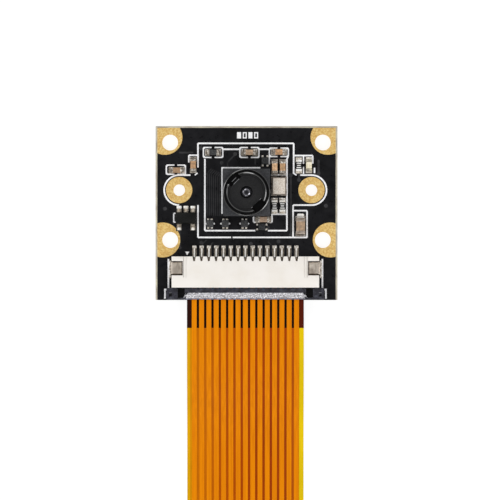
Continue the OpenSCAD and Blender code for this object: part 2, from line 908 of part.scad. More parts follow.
// The latch is a frame around the cable: tongue and bar below it, lip above it
module connector_latch() {
    back_y = mouth_y - running_gap;
    opening = ribbon_w / 2 + cable_side_gap;
    under = [top_z + running_gap, top_z + floor_t + running_gap + tongue_t];
    lip_z = conductor_top + running_gap;
    color("#3d3b47")
        translate([conn_x, 0, 0])
            difference() {
                union() {
                    block([-opening - 0.3, opening + 0.3], [latch_y, back_y], under);
                    block([-opening + running_gap, opening - running_gap], [back_y - 0.1, cavity_y - 1],
                        [under[1] - tongue_t, under[1]]);
                    run_x([-opening - 0.1, opening + 0.1])
                        polygon([[latch_y, lip_z], [latch_y, lip_z + 0.12], [latch_y + 0.18, lip_z + 0.2],
                            [back_y - 0.62, lip_top], [back_y, lip_top], [back_y, lip_z]]);
                    both_ends()
                        block([opening, housing_w / 2 + ear_out], [latch_y, back_y], [under[0], ear_top]);
                    both_ends()
                        block(arm_x, [back_y - 0.1, mouth_y + arm_reach], arm_z);
                }
                both_ends()
                    block([opening + pocket_x[0], opening + pocket_x[1]],
                        [latch_y + pocket_y, back_y + through],
                        [arm_z[1] + 0.05, lip_top + through]);
                both_ends()
                    block([opening + dimple_x[0], opening + dimple_x[1]],
                        [latch_y + dimple_y[0], latch_y + dimple_y[1]],
                        [ear_top - dimple_deep, lip_top + through]);
            }
}

// Level line of the ribbon, moved up by the given height
function ribbon_line(lift) = [for (p = ribbon_route) [p[0], p[1] + lift]];

function reversed(list) = [for (i = [len(list) - 1 : -1 : 0]) list[i]];

// A strip along the whole ribbon, between two heights over the film's middle
module ribbon_strip(x, low, high) {
    run_x(x)
        polygon(concat(ribbon_line(low), reversed(ribbon_line(high))));
}

module ribbon_film() {
    color("#8a4a08")
        translate([conn_x, 0, 0])
            ribbon_strip([-ribbon_w / 2, ribbon_w / 2], -film_t / 2, film_t / 2);
}

module ribbon_conductors() {
    color("#e58700")
        for (i = [0 : contacts - 1])
            ribbon_strip([contact_x(i) - conductor_w / 2, contact_x(i) + conductor_w / 2],
                film_t / 2, film_t / 2 + conductor_t);
}

module near_stiffener() {
    color("#1a1420")
        block([conn_x - ribbon_w / 2, conn_x + ribbon_w / 2], [-board_l / 2 - stiffener_out, route_start[0]],
            [route_start[1] - film_t / 2 - stiffener_t, route_start[1] - film_t / 2]);
}

module far_stiffener() {
    color("#1b2b6b")
        block([conn_x - ribbon_w / 2, conn_x + ribbon_w / 2], [route_end[0], route_end[0] + far_stiffener_l],
            [route_end[1] - film_t / 2 - stiffener_t, route_end[1] - film_t / 2]);
}

// Tin over the bare ends of the conductors
module bare_ends(y, level) {
    color("#d8d9dc")
        for (i = [0 : contacts - 1])
            block([contact_x(i) - conductor_w / 2, contact_x(i) + conductor_w / 2], y,
                [level, level + tin_t]);
}

module near_bare_contacts() {
    bare_ends([route_start[0] - bare_l, route_start[0]], conductor_top);
}

module far_bare_contacts() {
    bare_ends([route_end[0], route_end[0] + bare_l], route_end[1] + film_t / 2 + conductor_t);
}

module chip_body(length, width, height) {
    block([-length / 2 + end_t, length / 2 - end_t], [-width / 2 + end_t, width / 2 - end_t],
        [seat_z + end_t, seat_z + height - end_t]);
}

// Metal caps that wrap both ends of a chip part
module chip_ends(length, width, height, wrap = end_l) {
    difference() {
        for (side = [0, 180])
            rotate([0, 0, side])
                block([length / 2 - wrap, length / 2], [-width / 2, width / 2],
                    [seat_z, seat_z + height]);
        chip_body(length, width, height);
    }
}

module small_capacitor(i) {
    color("#b49a7c")
        at_place(capacitor_places[i])
            chip_body(chip_l, chip_w, cap_h);
}

module capacitor_1() { small_capacitor(0); }
module capacitor_2() { small_capacitor(1); }
module capacitor_3() { small_capacitor(2); }
module capacitor_4() { small_capacitor(3); }
module capacitor_5() { small_capacitor(4); }
module capacitor_6() { small_capacitor(5); }
module capacitor_7() { small_capacitor(6); }

module large_capacitor() {
    color("#b7a487")
        at_place(large_cap_place)
            chip_body(big_cap_l, big_cap_w, big_cap_w);
}

module capacitor_ends() {
    color("#d5d6d8") {
        for (place = capacitor_places)
            at_place(place)
                chip_ends(chip_l, chip_w, cap_h);
        at_place(large_cap_place)
            chip_ends(big_cap_l, big_cap_w, big_cap_w, big_end_l);
    }
}

module chip_resistor(i) {
    color("#202024")
        at_place(resistor_places[i])
            chip_body(chip_l, chip_w, res_h);
}

module resistor_1() { chip_resistor(0); }
module resistor_2() { chip_resistor(1); }
module resistor_3() { chip_resistor(2); }

module resistor_ends() {
    color("#d5d6d8")
        for (place = resistor_places)
            at_place(place)
                chip_ends(chip_l, chip_w, res_h);
}

module ferrite_bead() {
    color("#55575a")
        at_place(bead_place)
            chip_body(chip_l, chip_w, cap_h);
}

module bead_ends() {
    color("#d5d6d8")
        at_place(bead_place)
            chip_ends(chip_l, chip_w, cap_h);
}

module choke(i) {
    color("#6b6c70")
        at_place(choke_places[i])
            block([-choke_w / 2, choke_w / 2], [-choke_l / 2, choke_l / 2], [seat_z, seat_z + choke_h]);
}

module choke_1() { choke(0); }
module choke_2() { choke(1); }
module choke_3() { choke(2); }

module choke_terminals() {
    color("#d5d6d8")
        for (place = choke_places)
            at_place(place)
                for (side = [0, 180], x = [-1, 1])
                    rotate([0, 0, side])
                        block([(x * terminal_pitch - terminal_w) / 2, (x * terminal_pitch + terminal_w) / 2],
                            [choke_l / 2, choke_l / 2 + terminal_out], [seat_z, seat_z + choke_h * 0.7]);
}

module transistor(i) {
    color("#26262a")
        at_place(transistor_places[i])
            block([-trans_w / 2, trans_w / 2], [-trans_w / 2, trans_w / 2], [seat_z, seat_z + trans_h]);
}

module transistor_1() { transistor(0); }
module transistor_2() { transistor(1); }

module transistor_leads() {
    color("#d5d6d8")
        for (place = transistor_places)
            at_place(place)
                for (side = [0, 180], x = [-1, 1])
                    rotate([0, 0, side])
                        block([(x * lead_pitch - lead_w) / 2, (x * lead_pitch + lead_w) / 2],
                            [trans_w / 2, trans_w / 2 + lead_out], [seat_z, seat_z + 0.14]);
}

module regulator_body() {
    z = [seat_z + reg_stand, seat_z + reg_h];
    slope = 0.08;
    color("#232427")
        at_place(regulator_place)
            intersection() {
                run_x([-reg_l / 2, reg_l / 2])
                    polygon([[-reg_w / 2 + slope, z[0]], [reg_w / 2 - slope, z[0]],
                        [reg_w / 2, seat_z + reg_knee_z], [reg_w / 2 - slope, z[1]],
                        [-reg_w / 2 + slope, z[1]], [-reg_w / 2, seat_z + reg_knee_z]]);
                run_y([-reg_w / 2, reg_w / 2])
                    polygon([[-reg_l / 2 + slope, z[0]], [reg_l / 2 - slope, z[0]],
                        [reg_l / 2, seat_z + reg_knee_z], [reg_l / 2 - slope, z[1]],
                        [-reg_l / 2 + slope, z[1]], [-reg_l / 2, seat_z + reg_knee_z]]);
            }
}

// Gull-wing lead that leaves the body's +Y side at the given X
module gull_lead(x) {
    y = [reg_w / 2, reg_w / 2 + reg_reach];
    knee = seat_z + reg_knee_z;
    half = reg_lead_t / 2;
    run_x([x - reg_lead_w / 2, x + reg_lead_w / 2])
        polygon([[y[0], knee - half], [y[0] + 0.08, knee - half], [y[1] - reg_foot, seat_z],
            [y[1], seat_z], [y[1], seat_z + reg_lead_t], [y[1] - reg_foot + 0.12, seat_z + reg_lead_t],
            [y[0] + 0.16, knee + half], [y[0], knee + half]]);
}

module regulator_leads() {
    color("#cfd0d2")
        at_place(regulator_place) {
            for (i = [-1, 0, 1])
                gull_lead(i * reg_pitch);
            rotate([0, 0, 180])
                for (i = [-1, 1])
                    gull_lead(i * reg_pitch);
        }
}

module oscillator_base() {
    color("#6e6250")
        at_place(oscillator_place)
            block([-osc_w / 2, osc_w / 2], [-osc_l / 2, osc_l / 2], [seat_z, seat_z + osc_h - osc_lid_t]);
}

module oscillator_lid() {
    color("#cbbf9f")
        at_place(oscillator_place)
            block([-osc_w / 2 + osc_lid_inset, osc_w / 2 - osc_lid_inset],
                [-osc_l / 2 + osc_lid_inset, osc_l / 2 - osc_lid_inset],
                [seat_z + osc_h - osc_lid_t, seat_z + osc_h]);
}

module lamp_base() {
    color("#d8d2bf")
        at_place(lamp_place)
            block([-chip_l / 2, chip_l / 2], [-chip_w / 2, chip_w / 2], [seat_z, seat_z + led_h * 0.4]);
}

module indicator_lamp() {
    half = chip_l / 2 - end_l;
    z = [seat_z + led_h * 0.4, seat_z + led_h];
    color("#f1e3b2")
        at_place(lamp_place)
            run_y([-chip_w / 2, chip_w / 2])
                polygon([[-half, z[0]], [half, z[0]], [half - 0.06, z[1]], [-half + 0.06, z[1]]]);
}

board_laminate();
front_solder_mask();
back_solder_mask();
plated_holes();
component_pads();
printed_legend();
solder_fillets();
lens_holder();
lens_barrel();
front_lens();
middle_lens();
rear_lens();
lens_retainer();
infrared_filter();
image_sensor();
connector_housing();
connector_contacts();
connector_latch();
left_hold_down();
right_hold_down();
ribbon_film();
ribbon_conductors();
near_stiffener();
far_stiffener();
near_bare_contacts();
far_bare_contacts();
regulator_body();
regulator_leads();
oscillator_base();
oscillator_lid();
capacitor_1();
capacitor_2();
capacitor_3();
capacitor_4();
capacitor_5();
capacitor_6();
capacitor_7();
large_capacitor();
capacitor_ends();
resistor_1();
resistor_2();
resistor_3();
resistor_ends();
ferrite_bead();
bead_ends();
choke_1();
choke_2();
choke_3();
choke_terminals();
transistor_1();
transistor_2();
transistor_leads();
indicator_lamp();
lamp_base();
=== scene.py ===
"""A small camera module on its ribbon cable: finishes, fine shapes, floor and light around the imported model.

Pieces are shaped on a bench where one unit is one millimetre, and shrunk to metres when they are fitted.
"""

import logging
import math
from collections.abc import Callable, Iterator, Sequence
from contextlib import contextmanager
from dataclasses import dataclass
from enum import Enum

import bpy
from mathutils import Matrix, Vector


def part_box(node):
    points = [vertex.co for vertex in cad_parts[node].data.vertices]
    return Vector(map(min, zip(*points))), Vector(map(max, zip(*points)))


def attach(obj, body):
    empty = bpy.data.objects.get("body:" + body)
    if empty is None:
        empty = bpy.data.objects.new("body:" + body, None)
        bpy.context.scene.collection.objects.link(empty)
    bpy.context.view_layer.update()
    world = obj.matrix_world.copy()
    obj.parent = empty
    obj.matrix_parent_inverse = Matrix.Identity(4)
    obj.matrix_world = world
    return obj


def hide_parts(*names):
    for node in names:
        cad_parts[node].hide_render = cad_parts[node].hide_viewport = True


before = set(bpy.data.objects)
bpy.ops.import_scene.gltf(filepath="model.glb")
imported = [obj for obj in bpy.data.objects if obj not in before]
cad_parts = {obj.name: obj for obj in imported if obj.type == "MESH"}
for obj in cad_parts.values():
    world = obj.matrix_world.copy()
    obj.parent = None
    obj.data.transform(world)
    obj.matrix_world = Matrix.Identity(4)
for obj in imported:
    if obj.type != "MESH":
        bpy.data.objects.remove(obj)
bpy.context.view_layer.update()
LOG = logging.getLogger("camera_module")
MM = 0.001  # one millimetre, in metres
WELD = 0.001  # points closer than this are merged, in millimetres
SINK = 0.01  # how far a piece is let into what carries it, in millimetres
SMOOTH_BELOW = math.radians(32)  # edges that turn by less are shaded smooth

Pair = tuple[float, float]
Point = tuple[float, float, float]
Place = tuple[float, float, float]  # X, Y and a turn in degrees
Track = tuple[Pair, Pair, float]  # start, end and width
Piece = bpy.types.Object
Corner = bpy.types.MeshVertex
Face = bpy.types.MeshPolygon
Socket = bpy.types.NodeSocket
Tree = bpy.types.NodeTree


class Body(Enum):
    """The bodies that a piece can ride on."""

    ROOT = "root"
    LATCH = "latch"


class Pick(Enum):
    """What is selected while a piece is edited."""

    POINTS = "VERT"
    FACES = "FACE"


# ---------------------------------------------------------------- bench work


def deselect() -> None:
    """Clears the selection, so that an operator acts on one piece alone."""
    for thing in list(bpy.context.selected_objects):
        thing.select_set(False)


def focus(*pieces: Piece) -> None:
    """Selects pieces alone and makes the first one active.

    Args:
        *pieces: The pieces.
    """
    deselect()
    for piece in pieces:
        piece.select_set(True)
    bpy.context.view_layer.objects.active = pieces[0]


@contextmanager
def editing(
    piece: Piece, pick: Pick = Pick.POINTS, wanted: Callable[[Corner | Face], bool] | None = None
) -> Iterator[None]:
    """Opens a piece for editing and closes it afterwards.

    Args:
        piece: The piece to edit.
        pick: Whether points or faces are selected.
        wanted: Says which of them are selected, if not all.

    Yields:
        Nothing, while the piece is open.
    """
    focus(piece)
    bpy.ops.object.mode_set(mode="EDIT")
    bpy.ops.mesh.select_mode(type=pick.value)
    bpy.ops.mesh.select_all(action="DESELECT" if wanted else "SELECT")
    if wanted:
        bpy.ops.object.mode_set(mode="OBJECT")
        for part in piece.data.vertices if pick is Pick.POINTS else piece.data.polygons:
            part.select = wanted(part)
        bpy.ops.object.mode_set(mode="EDIT")
    yield
    bpy.ops.object.mode_set(mode="OBJECT")


def drawn(name: str, points: Sequence[Point], filled: bool) -> Piece:
    """Draws a closed outline.

    Args:
        name: Name of the piece.
        points: Its corners in order.
        filled: Whether it is a face or only a line.

    Returns:
        The outline, as a piece of its own.
    """
    deselect()
    bpy.ops.mesh.primitive_circle_add(vertices=len(points), fill_type="NGON" if filled else "NOTHING")
    piece = bpy.context.active_object
    piece.name = piece.data.name = name
    for corner, place in zip(piece.data.vertices, points):
        corner.co = place
    return piece


def prism(name: str, points: Sequence[Point], along: Point) -> Piece:
    """Fills an outline and pulls it into a solid.

    Args:
        name: Name of the piece.
        points: Corners of the outline.
        along: How far it is pulled along X, Y and Z.

    Returns:
        The solid.
    """
    piece = drawn(name, points, filled=True)
    with editing(piece, Pick.FACES):
        bpy.ops.mesh.extrude_region_move(TRANSFORM_OT_translate={"value": along})
        bpy.ops.mesh.select_all(action="SELECT")
        bpy.ops.mesh.normals_make_consistent(inside=False)
    return piece


def prism_x(name: str, outline: Sequence[Pair], x: Pair) -> Piece:
    """Runs an outline of Y and Z along X, from the first X to the second."""
    return prism(name, [(x[0], y, z) for y, z in outline], (x[1] - x[0], 0, 0))


def prism_y(name: str, outline: Sequence[Pair], y: Pair) -> Piece:
    """Runs an outline of X and Z along Y, from the first Y to the second."""
    return prism(name, [(x, y[0], z) for x, z in outline], (0, y[1] - y[0], 0))


def prism_z(name: str, outline: Sequence[Pair], z: Pair) -> Piece:
    """Runs an outline of X and Y upwards, from the first Z to the second."""
    return prism(name, [(x, y, z[0]) for x, y in outline], (0, 0, z[1] - z[0]))


def slab(name: str, one: Point, other: Point) -> Piece:
    """Makes a block, ready for its edges and cuts.

    Args:
        name: Name of the piece.
        one: One of its corners.
        other: The opposite corner.

    Returns:
        The block.
    """
    deselect()
    centre = [(a + b) / 2 for a, b in zip(one, other)]
    bpy.ops.mesh.primitive_cube_add(size=1, location=centre, scale=[abs(b - a) for a, b in zip(one, other)])
    piece = bpy.context.active_object
    piece.name = piece.data.name = name
    bpy.ops.object.transform_apply(location=True, rotation=True, scale=True)
    return piece


def turned(name: str, section: Sequence[Pair], steps: int) -> Piece:
    """Spins a closed half section about the upright axis.

    Args:
        name: Name of the piece.
        section: Radius and height of each corner.
        steps: Number of sides of the round piece.

    Returns:
        The round piece.
    """
    piece = drawn(name, [(radius, 0, z) for radius, z in section], filled=False)
    with editing(piece):
        bpy.ops.mesh.spin(steps=steps, angle=math.tau, center=(0, 0, 0), axis=(0, 0, 1))
        bpy.ops.mesh.select_all(action="SELECT")
        bpy.ops.mesh.remove_doubles(threshold=WELD)
        bpy.ops.mesh.normals_make_consistent(inside=False)
    return piece


def applied(piece: Piece, kind: str, **settings: object) -> Piece:
    """Puts a modifier on a piece and applies it.

    Args:
        piece: The piece.
        kind: Blender's name for the modifier.
        **settings: Properties of the modifier.

    Returns:
        The same piece.
    """
    modifier = piece.modifiers.new(kind.lower(), kind)
    for key, value in settings.items():
        setattr(modifier, key, value)
    focus(piece)
    bpy.ops.object.modifier_apply(modifier=modifier.name)
    return piece


def soften(piece: Piece, width: float, rounds: int = 2, above: float = 30) -> Piece:
    """Rounds the sharp edges of a piece.

    Args:
        piece: The piece.
        width: Width of the rounding.
        rounds: Number of facets across it.
        above: Edges that turn by more than this many degrees are rounded.

    Returns:
        The same piece.
    """
    limit = math.radians(above)
    return applied(piece, "BEVEL", width=width, segments=rounds, limit_method="ANGLE", angle_limit=limit)


def cut(piece: Piece, cutter: Piece) -> Piece:
    """Takes a cutter's shape out of a piece.

    Args:
        piece: The piece.
        cutter: The cutter. It is used up.

    Returns:
        The same piece.
    """
    applied(piece, "BOOLEAN", operation="DIFFERENCE", solver="EXACT", object=cutter)
    bpy.data.objects.remove(cutter)
    return piece


def joined(name: str, pieces: Sequence[Piece]) -> Piece:
    """Joins pieces into one object that keeps them as loose parts.

    Args:
        name: Name of the object.
        pieces: The pieces.

    Returns:
        The object.
    """
    focus(*pieces)
    if len(pieces) > 1:
        bpy.ops.object.join()
    pieces[0].name = pieces[0].data.name = name
    return pieces[0]


def moved(piece: Piece, at: Pair, turn: float = 0) -> Piece:
    """Turns a piece by some degrees about the bench's upright axis, and then moves it to an X and Y."""
    piece.data.transform(Matrix.Translation((*at, 0)) @ Matrix.Rotation(math.radians(turn), 4, "Z"))
    return piece


def laid(name: str, mesh: bpy.types.Mesh) -> Piece:
    """Lays a mesh on the bench as a piece of its own.

    Args:
        name: Name of the piece.
        mesh: The mesh.

    Returns:
        The piece.
    """
    piece = bpy.data.objects.new(name, mesh)
    bpy.context.collection.objects.link(piece)
    return piece


def set_out(name: str, piece: Piece, places: Sequence[Place]) -> Piece:
    """Sets out copies of one piece, each with a mesh of its own, joined as one object.

    Args:
        name: Name of the object.
        piece: The piece, modelled about the upright axis. It is used up.
        places: Where the copies go.

    Returns:
        The object.
    """
    copies = [moved(laid(name, piece.data.copy()), (x, y), turn) for x, y, turn in places]
    bpy.data.objects.remove(piece)
    return joined(name, copies)


def row(middle_x: float, count: int, pitch: float) -> list[Place]:
    """Places in a row along X, evenly about a middle."""
    return [(middle_x + (i - (count - 1) / 2) * pitch, 0, 0) for i in range(count)]


def recast(node: str, name: str) -> Piece:
    """Copies a CAD node's mesh onto the bench and merges its loose triangles into faces.

    Args:
        node: The CAD node.
        name: Name of the copy.

    Returns:
        The copy.
    """
    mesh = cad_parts[node].data.copy()
    mesh.materials.clear()
    mesh.transform(Matrix.Scale(1 / MM, 4))
    piece = laid(name, mesh)
    with editing(piece):
        bpy.ops.mesh.remove_doubles(threshold=WELD)
        bpy.ops.mesh.dissolve_limited(angle_limit=math.radians(1))
        bpy.ops.mesh.normals_make_consistent(inside=False)
    return piece


def extent(node: str) -> tuple[Vector, Vector]:
    """Lowest and highest corners of a CAD node, in millimetres."""
    low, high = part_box(node)
    return Vector(low) / MM, Vector(high) / MM


def middle(node: str) -> Pair:
    """X and Y of the middle of a CAD node, in millimetres."""
    low, high = extent(node)
    return (low.x + high.x) / 2, (low.y + high.y) / 2


# ---------------------------------------------------------------- finishes


def linear(colour: str) -> tuple[float, float, float, float]:
    """Turns an sRGB hex value into linear colour.

    Args:
        colour: The value, as #rrggbb.

    Returns:
        Red, green, blue and full alpha.
    """
    parts = [int(colour[i : i + 2], 16) / 255 for i in (1, 3, 5)]
    red, green, blue = [v / 12.92 if v <= 0.04045 else ((v + 0.055) / 1.055) ** 2.4 for v in parts]
    return red, green, blue, 1


def add(tree: Tree, kind: str, inputs: dict | None = None, **settings: object) -> bpy.types.Node:
    """Adds a node with its settings and links.

    Args:
        tree: The material's node tree.
        kind: Blender's name for the node.
        inputs: Values or sockets for its inputs, by name or number.
        **settings: Properties of the node.

    Returns:
        The node.
    """
    node = tree.nodes.new(kind)
    for key, value in settings.items():
        setattr(node, key, value)
    for key, value in (inputs or {}).items():
        if isinstance(value, Socket):
            tree.links.new(value, node.inputs[key])
        else:
            node.inputs[key].default_value = value
    return node


def ramped(tree: Tree, factor: Socket, stops: Sequence[tuple[float, str]], stepped: bool = False) -> Socket:
    """Turns a factor into colours.

    Args:
        tree: The material's node tree.
        factor: The socket that is read.
        stops: Position and colour of each stop.
        stepped: Whether each colour holds until the next stop.

    Returns:
        The colour socket.
    """
    node = add(tree, "ShaderNodeValToRGB", {"Fac": factor})
    ramp = node.color_ramp
    ramp.interpolation = "CONSTANT" if stepped else "LINEAR"
    while len(ramp.elements) < len(stops):
        ramp.elements.new(1)
    for stop, (position, colour) in zip(ramp.elements, stops):
        stop.position = position
        stop.color = linear(colour)
    return node.outputs["Color"]


@dataclass(frozen=True)
class Finish:
    """A surface whose tones wander in patches, over a fine grain.

    Attributes:
        name: What it is made of and how.
        slot: The record's material slot that it belongs to. Not used.
        tones: Colours from the darkest patches to the lightest.
        patch: Size of a patch, in millimetres.
        roughness: Middle roughness.
        metallic: 1 for bare metal.
        specular: Strength of the gloss, 0.5 for most plastics.
        grain: Size of a grain, in millimetres.
        depth: Depth of the grain, in millimetres.
        spread: How far the roughness wanders to each side.
    """

    name: str
    slot: str
    tones: tuple[str, ...]
    patch: float
    roughness: float
    metallic: float = 0.0
    specular: float = 0.5
    grain: float = 0.15
    depth: float = 0.002
    spread: float = 0.06

    def material(self) -> bpy.types.Material:
        """Makes the material the first time, and gives the same one after that.

        Returns:
            The material.
        """
        known = bpy.data.materials.get(self.name)
        if known is not None:
            return known
        material = bpy.data.materials.new(self.name)
        material.use_nodes = True
        tree = material.node_tree
        shader = tree.nodes["Principled BSDF"]
        shader.inputs["Metallic"].default_value = self.metallic
        shader.inputs["Specular IOR Level"].default_value = self.specular
        place = add(tree, "ShaderNodeTexCoord").outputs["Object"]
        tree.links.new(self.colour(tree, place), shader.inputs["Base Color"])
        self.surface(tree, place, shader)
        return material

    def noise(self, tree: Tree, place: Socket, size: float, detail: float) -> Socket:
        """Noise whose patches are about a size in millimetres."""
        inputs = {"Vector": place, "Scale": 1 / (size * MM), "Detail": detail}
        return add(tree, "ShaderNodeTexNoise", inputs).outputs["Fac"]

    def colour(self, tree: Tree, place: Socket) -> Socket:
        """Lets the tones wander in patches.

        Args:
            tree: The material's node tree.
            place: Object coordinates.

        Returns:
            The colour socket.
        """
        darkest, span = 0.32, 0.36  # the part of the noise's range that patches of it fill
        last = max(len(self.tones) - 1, 1)
        stops = [(darkest + span * i / last, tone) for i, tone in enumerate(self.tones)]
        return ramped(tree, self.noise(tree, place, self.patch, 3), stops)

    def surface(self, tree: Tree, place: Socket, shader: bpy.types.Node) -> None:
        """Gives the shader its grain and its wandering roughness.

        Args:
            tree: The material's node tree.
            place: Object coordinates.
            shader: The material's shader.
        """
        grain = self.noise(tree, place, self.grain, 2)
        bump = add(tree, "ShaderNodeBump", {"Height": grain, "Distance": self.depth * MM})
        tree.links.new(bump.outputs["Normal"], shader.inputs["Normal"])
        limits = {"From Min": 0.3, "From Max": 0.7, "To Min": self.roughness - self.spread,
                  "To Max": self.roughness + self.spread}
        gloss = add(tree, "ShaderNodeMapRange", {"Value": grain, **limits})
        tree.links.new(gloss.outputs["Result"], shader.inputs["Roughness"])


@dataclass(frozen=True)
class Stranded(Finish):
    """A finish whose tones run in streaks or layers along one direction.

    Attributes:
        stretch: How many times longer the patches are along X, Y and Z.
    """

    stretch: Point = (1, 1, 1)

    def colour(self, tree: Tree, place: Socket) -> Socket:
        """Stretches the patches into streaks.

        Args:
            tree: The material's node tree.
            place: Object coordinates.

        Returns:
            The colour socket.
        """
        scale = [1 / share for share in self.stretch]
        streaks = add(tree, "ShaderNodeMapping", {"Vector": place, "Scale": scale}).outputs["Vector"]
        return super().colour(tree, streaks)


@dataclass(frozen=True)
class BandedFilm(Finish):
    """Amber film over copper: clear at the edges, dark between conductors and darkest over the stiffener.

    Attributes:
        left: X of the film's left edge, in millimetres.
        width: Width of the film.
        over_floor: Where each band starts from the left edge, and its colour, over the bare film.
        over_backing: The same where the stiffener lies below.
        backing_end: Y of the stiffener's end.
    """

    left: float = 0
    width: float = 1
    over_floor: tuple[tuple[float, str], ...] = ()
    over_backing: tuple[tuple[float, str], ...] = ()
    backing_end: float = 0

    def colour(self, tree: Tree, place: Socket) -> Socket:
        """Sets bands across the film, and changes them over the stiffener.

        Args:
            tree: The material's node tree.
            place: Object coordinates.

        Returns:
            The colour socket.
        """
        split = add(tree, "ShaderNodeSeparateXYZ", {"Vector": place}).outputs
        right = (self.left + self.width) * MM
        span = {"Value": split["X"], "From Min": self.left * MM, "From Max": right}
        across = add(tree, "ShaderNodeMapRange", span).outputs["Result"]
        floor, backing = [
            ramped(tree, across, [(start / self.width, tone) for start, tone in bands], stepped=True)
            for bands in (self.over_floor, self.over_backing)
        ]
        step = {0: split["Y"], 1: self.backing_end * MM}
        near = add(tree, "ShaderNodeMath", step, operation="GREATER_THAN").outputs["Value"]
        base = add(tree, "ShaderNodeMix", {0: near, 6: floor, 7: backing}, data_type="RGBA").outputs[2]
        blend = {0: 1.0, 6: base, 7: super().colour(tree, place)}
        return add(tree, "ShaderNodeMix", blend, data_type="RGBA", blend_type="MULTIPLY").outputs[2]


@dataclass(frozen=True)
class CoatedGlass(Finish):
    """Lens glass with an anti-reflection coat: dark inside, with violet glints."""

    def surface(self, tree: Tree, place: Socket, shader: bpy.types.Node) -> None:
        """Polishes the glass and adds the coat.

        Args:
            tree: The material's node tree.
            place: Object coordinates.
            shader: The material's shader.
        """
        coat = {"Roughness": self.roughness, "IOR": 1.52, "Coat Weight": 1, "Coat Roughness": 0.03,
                "Coat IOR": 2.4, "Coat Tint": linear("#8f7fd0")}
        for key, value in coat.items():
            shader.inputs[key].default_value = value


# Gloss black solder mask: a thin lacquer that pools softly, so lamps run across it in faint waves
SOLDER_MASK = Finish("gloss_solder_mask", "solder_mask", ("#0e0e10", "#1a1a1d"), 2.5, 0.32, specular=0.22,
                     grain=0.6, depth=0.004)
# The same lacquer where copper lies below: a shade greyer
MASK_ON_COPPER = Finish("mask_over_copper", "solder_mask", ("#272729", "#3a3a3c"), 1.2, 0.4, specular=0.25,
                        grain=0.5, depth=0.003)
# Sawn glass-epoxy edge: layers of pale weave and resin
GLASS_EPOXY = Stranded("sawn_glass_epoxy", "glass_epoxy", ("#9c907c", "#bdb5a6", "#d6d0b4"), 0.35, 0.7,
                       depth=0.01, stretch=(4, 4, 0.6))
# Immersion gold over etched copper: matt, mottled and lightly stained
IMMERSION_GOLD = Finish("immersion_gold", "gold_plate", ("#ddb166", "#efc97c", "#fbe09a"), 0.22, 0.5,
                        metallic=0.85, grain=0.12, depth=0.004)
# Tinned copper: bright metal with a cloudy bloom
TINNED = Finish("hot_tinned_copper", "tinned_copper", ("#968b7d", "#bdb3a5", "#e2dacd"), 0.5, 0.36,
                metallic=0.6, depth=0.001)
# The same tin painted near white and nearly without metal: a painted highlight on upward faces and bright
# joints
TIN_PAINTED_HIGHLIGHT = Finish("tin_painted_highlight", "tinned_copper", ("#e4dccf", "#fbf8f1", "#ffffff"), 0.45, 0.4,
                    metallic=0.15, depth=0.001)
# The pressed frame at the tabs' edges, dark brown: a painted shade
TAB_FRAME_SHADE = Finish("tab_frame_painted_shade", "tinned_copper", ("#4a4036", "#6d6155", "#8b7e70"), 0.4, 0.45,
                  metallic=1)
# Brushed nickel-plated tabs: fine streaks along the brush
BRUSHED_NICKEL = Stranded("brushed_nickel", "tinned_copper", ("#aba094", "#c3b8ab", "#d9cfc3"), 0.4, 0.42,
                          metallic=0.8, stretch=(1, 2.5, 1))
# Nickel ends of the large capacitor, dulled by firing
DULL_NICKEL = Finish("dulled_nickel", "tinned_copper", ("#82756a", "#9f9286", "#b9ada1"), 0.3, 0.4,
                     metallic=0.6)
# Tin plated on the ends of chip parts: brownish, with near-white specks that are painted glints
PLATED_ENDS_GLINTS = Finish("barrel_plated_tin_painted_glints", "solder", ("#5d544b", "#a0968a", "#fffaf0"), 0.26, 0.34,
                     metallic=0.5)
# Reflowed solder: smooth grey metal that turns from mirror to shade over each fillet
SOLDER = Finish("reflowed_solder", "solder", ("#b5aca0", "#e4ddd3", "#ffffff"), 0.4, 0.28, metallic=0.5,
                depth=0.0015)
# Darker brown solder: a painted shade on the low sides of joints and on the contacts inside the housing
SOLDER_PAINTED_SHADE = Finish("solder_painted_shade", "solder", ("#4b4036", "#6e6154", "#978876"), 0.5, 0.36, metallic=0.8,
                       depth=0.001)
# Screened epoxy ink: chalky white with a broken edge
LEGEND_INK = Finish("screened_epoxy_ink", "legend_ink", ("#dadade", "#fafafc", "#ffffff"), 0.14, 0.65,
                    depth=0.004)
# White glaze of the bars on the resistors
RESISTOR_INK = Finish("white_marking_glaze", "legend_ink", ("#d9d6d0", "#ffffff"), 0.15, 0.5)
# Moulded black nylon of the lens holder: fine spark-eroded grain
HOLDER_PLASTIC = Finish("spark_eroded_nylon", "black_plastic", ("#1f2023", "#2a2b2e", "#3a3b3f"), 0.16, 0.5,
                        specular=0.35, grain=0.12, depth=0.008)
# Moulded black barrel, its black deepened, with little gloss, into painted shade everywhere but its inner face
# and chamfer
BARREL_BLACK_AND_SHADE = Finish("black_barrel_and_painted_shade", "black_plastic", ("#020202", "#050506"), 0.5, 0.5, specular=0.06,
                        grain=0.3)
# The barrel's inner face: matt, to keep stray light out of the lens
BARREL_FACE = Finish("matt_barrel_face", "black_plastic", ("#0b0b0c", "#131314", "#1e1e20"), 0.14, 0.5,
                     specular=0.25, grain=0.12, depth=0.006)
# Its polished chamfer, which throws back each lamp as a thin arc
BARREL_RIM = Finish("polished_rim", "black_plastic", ("#030303", "#060607"), 0.6, 0.16, specular=1, grain=0.3,
                    depth=0.001, spread=0.02)
# Pale grey painted highlights along the edges of the focusing notches
NOTCH_EDGE_HIGHLIGHT = Finish("notch_edge_painted_highlight", "black_plastic", ("#3c3c3e", "#6a6a6c", "#8f8f92"), 0.12, 0.5)
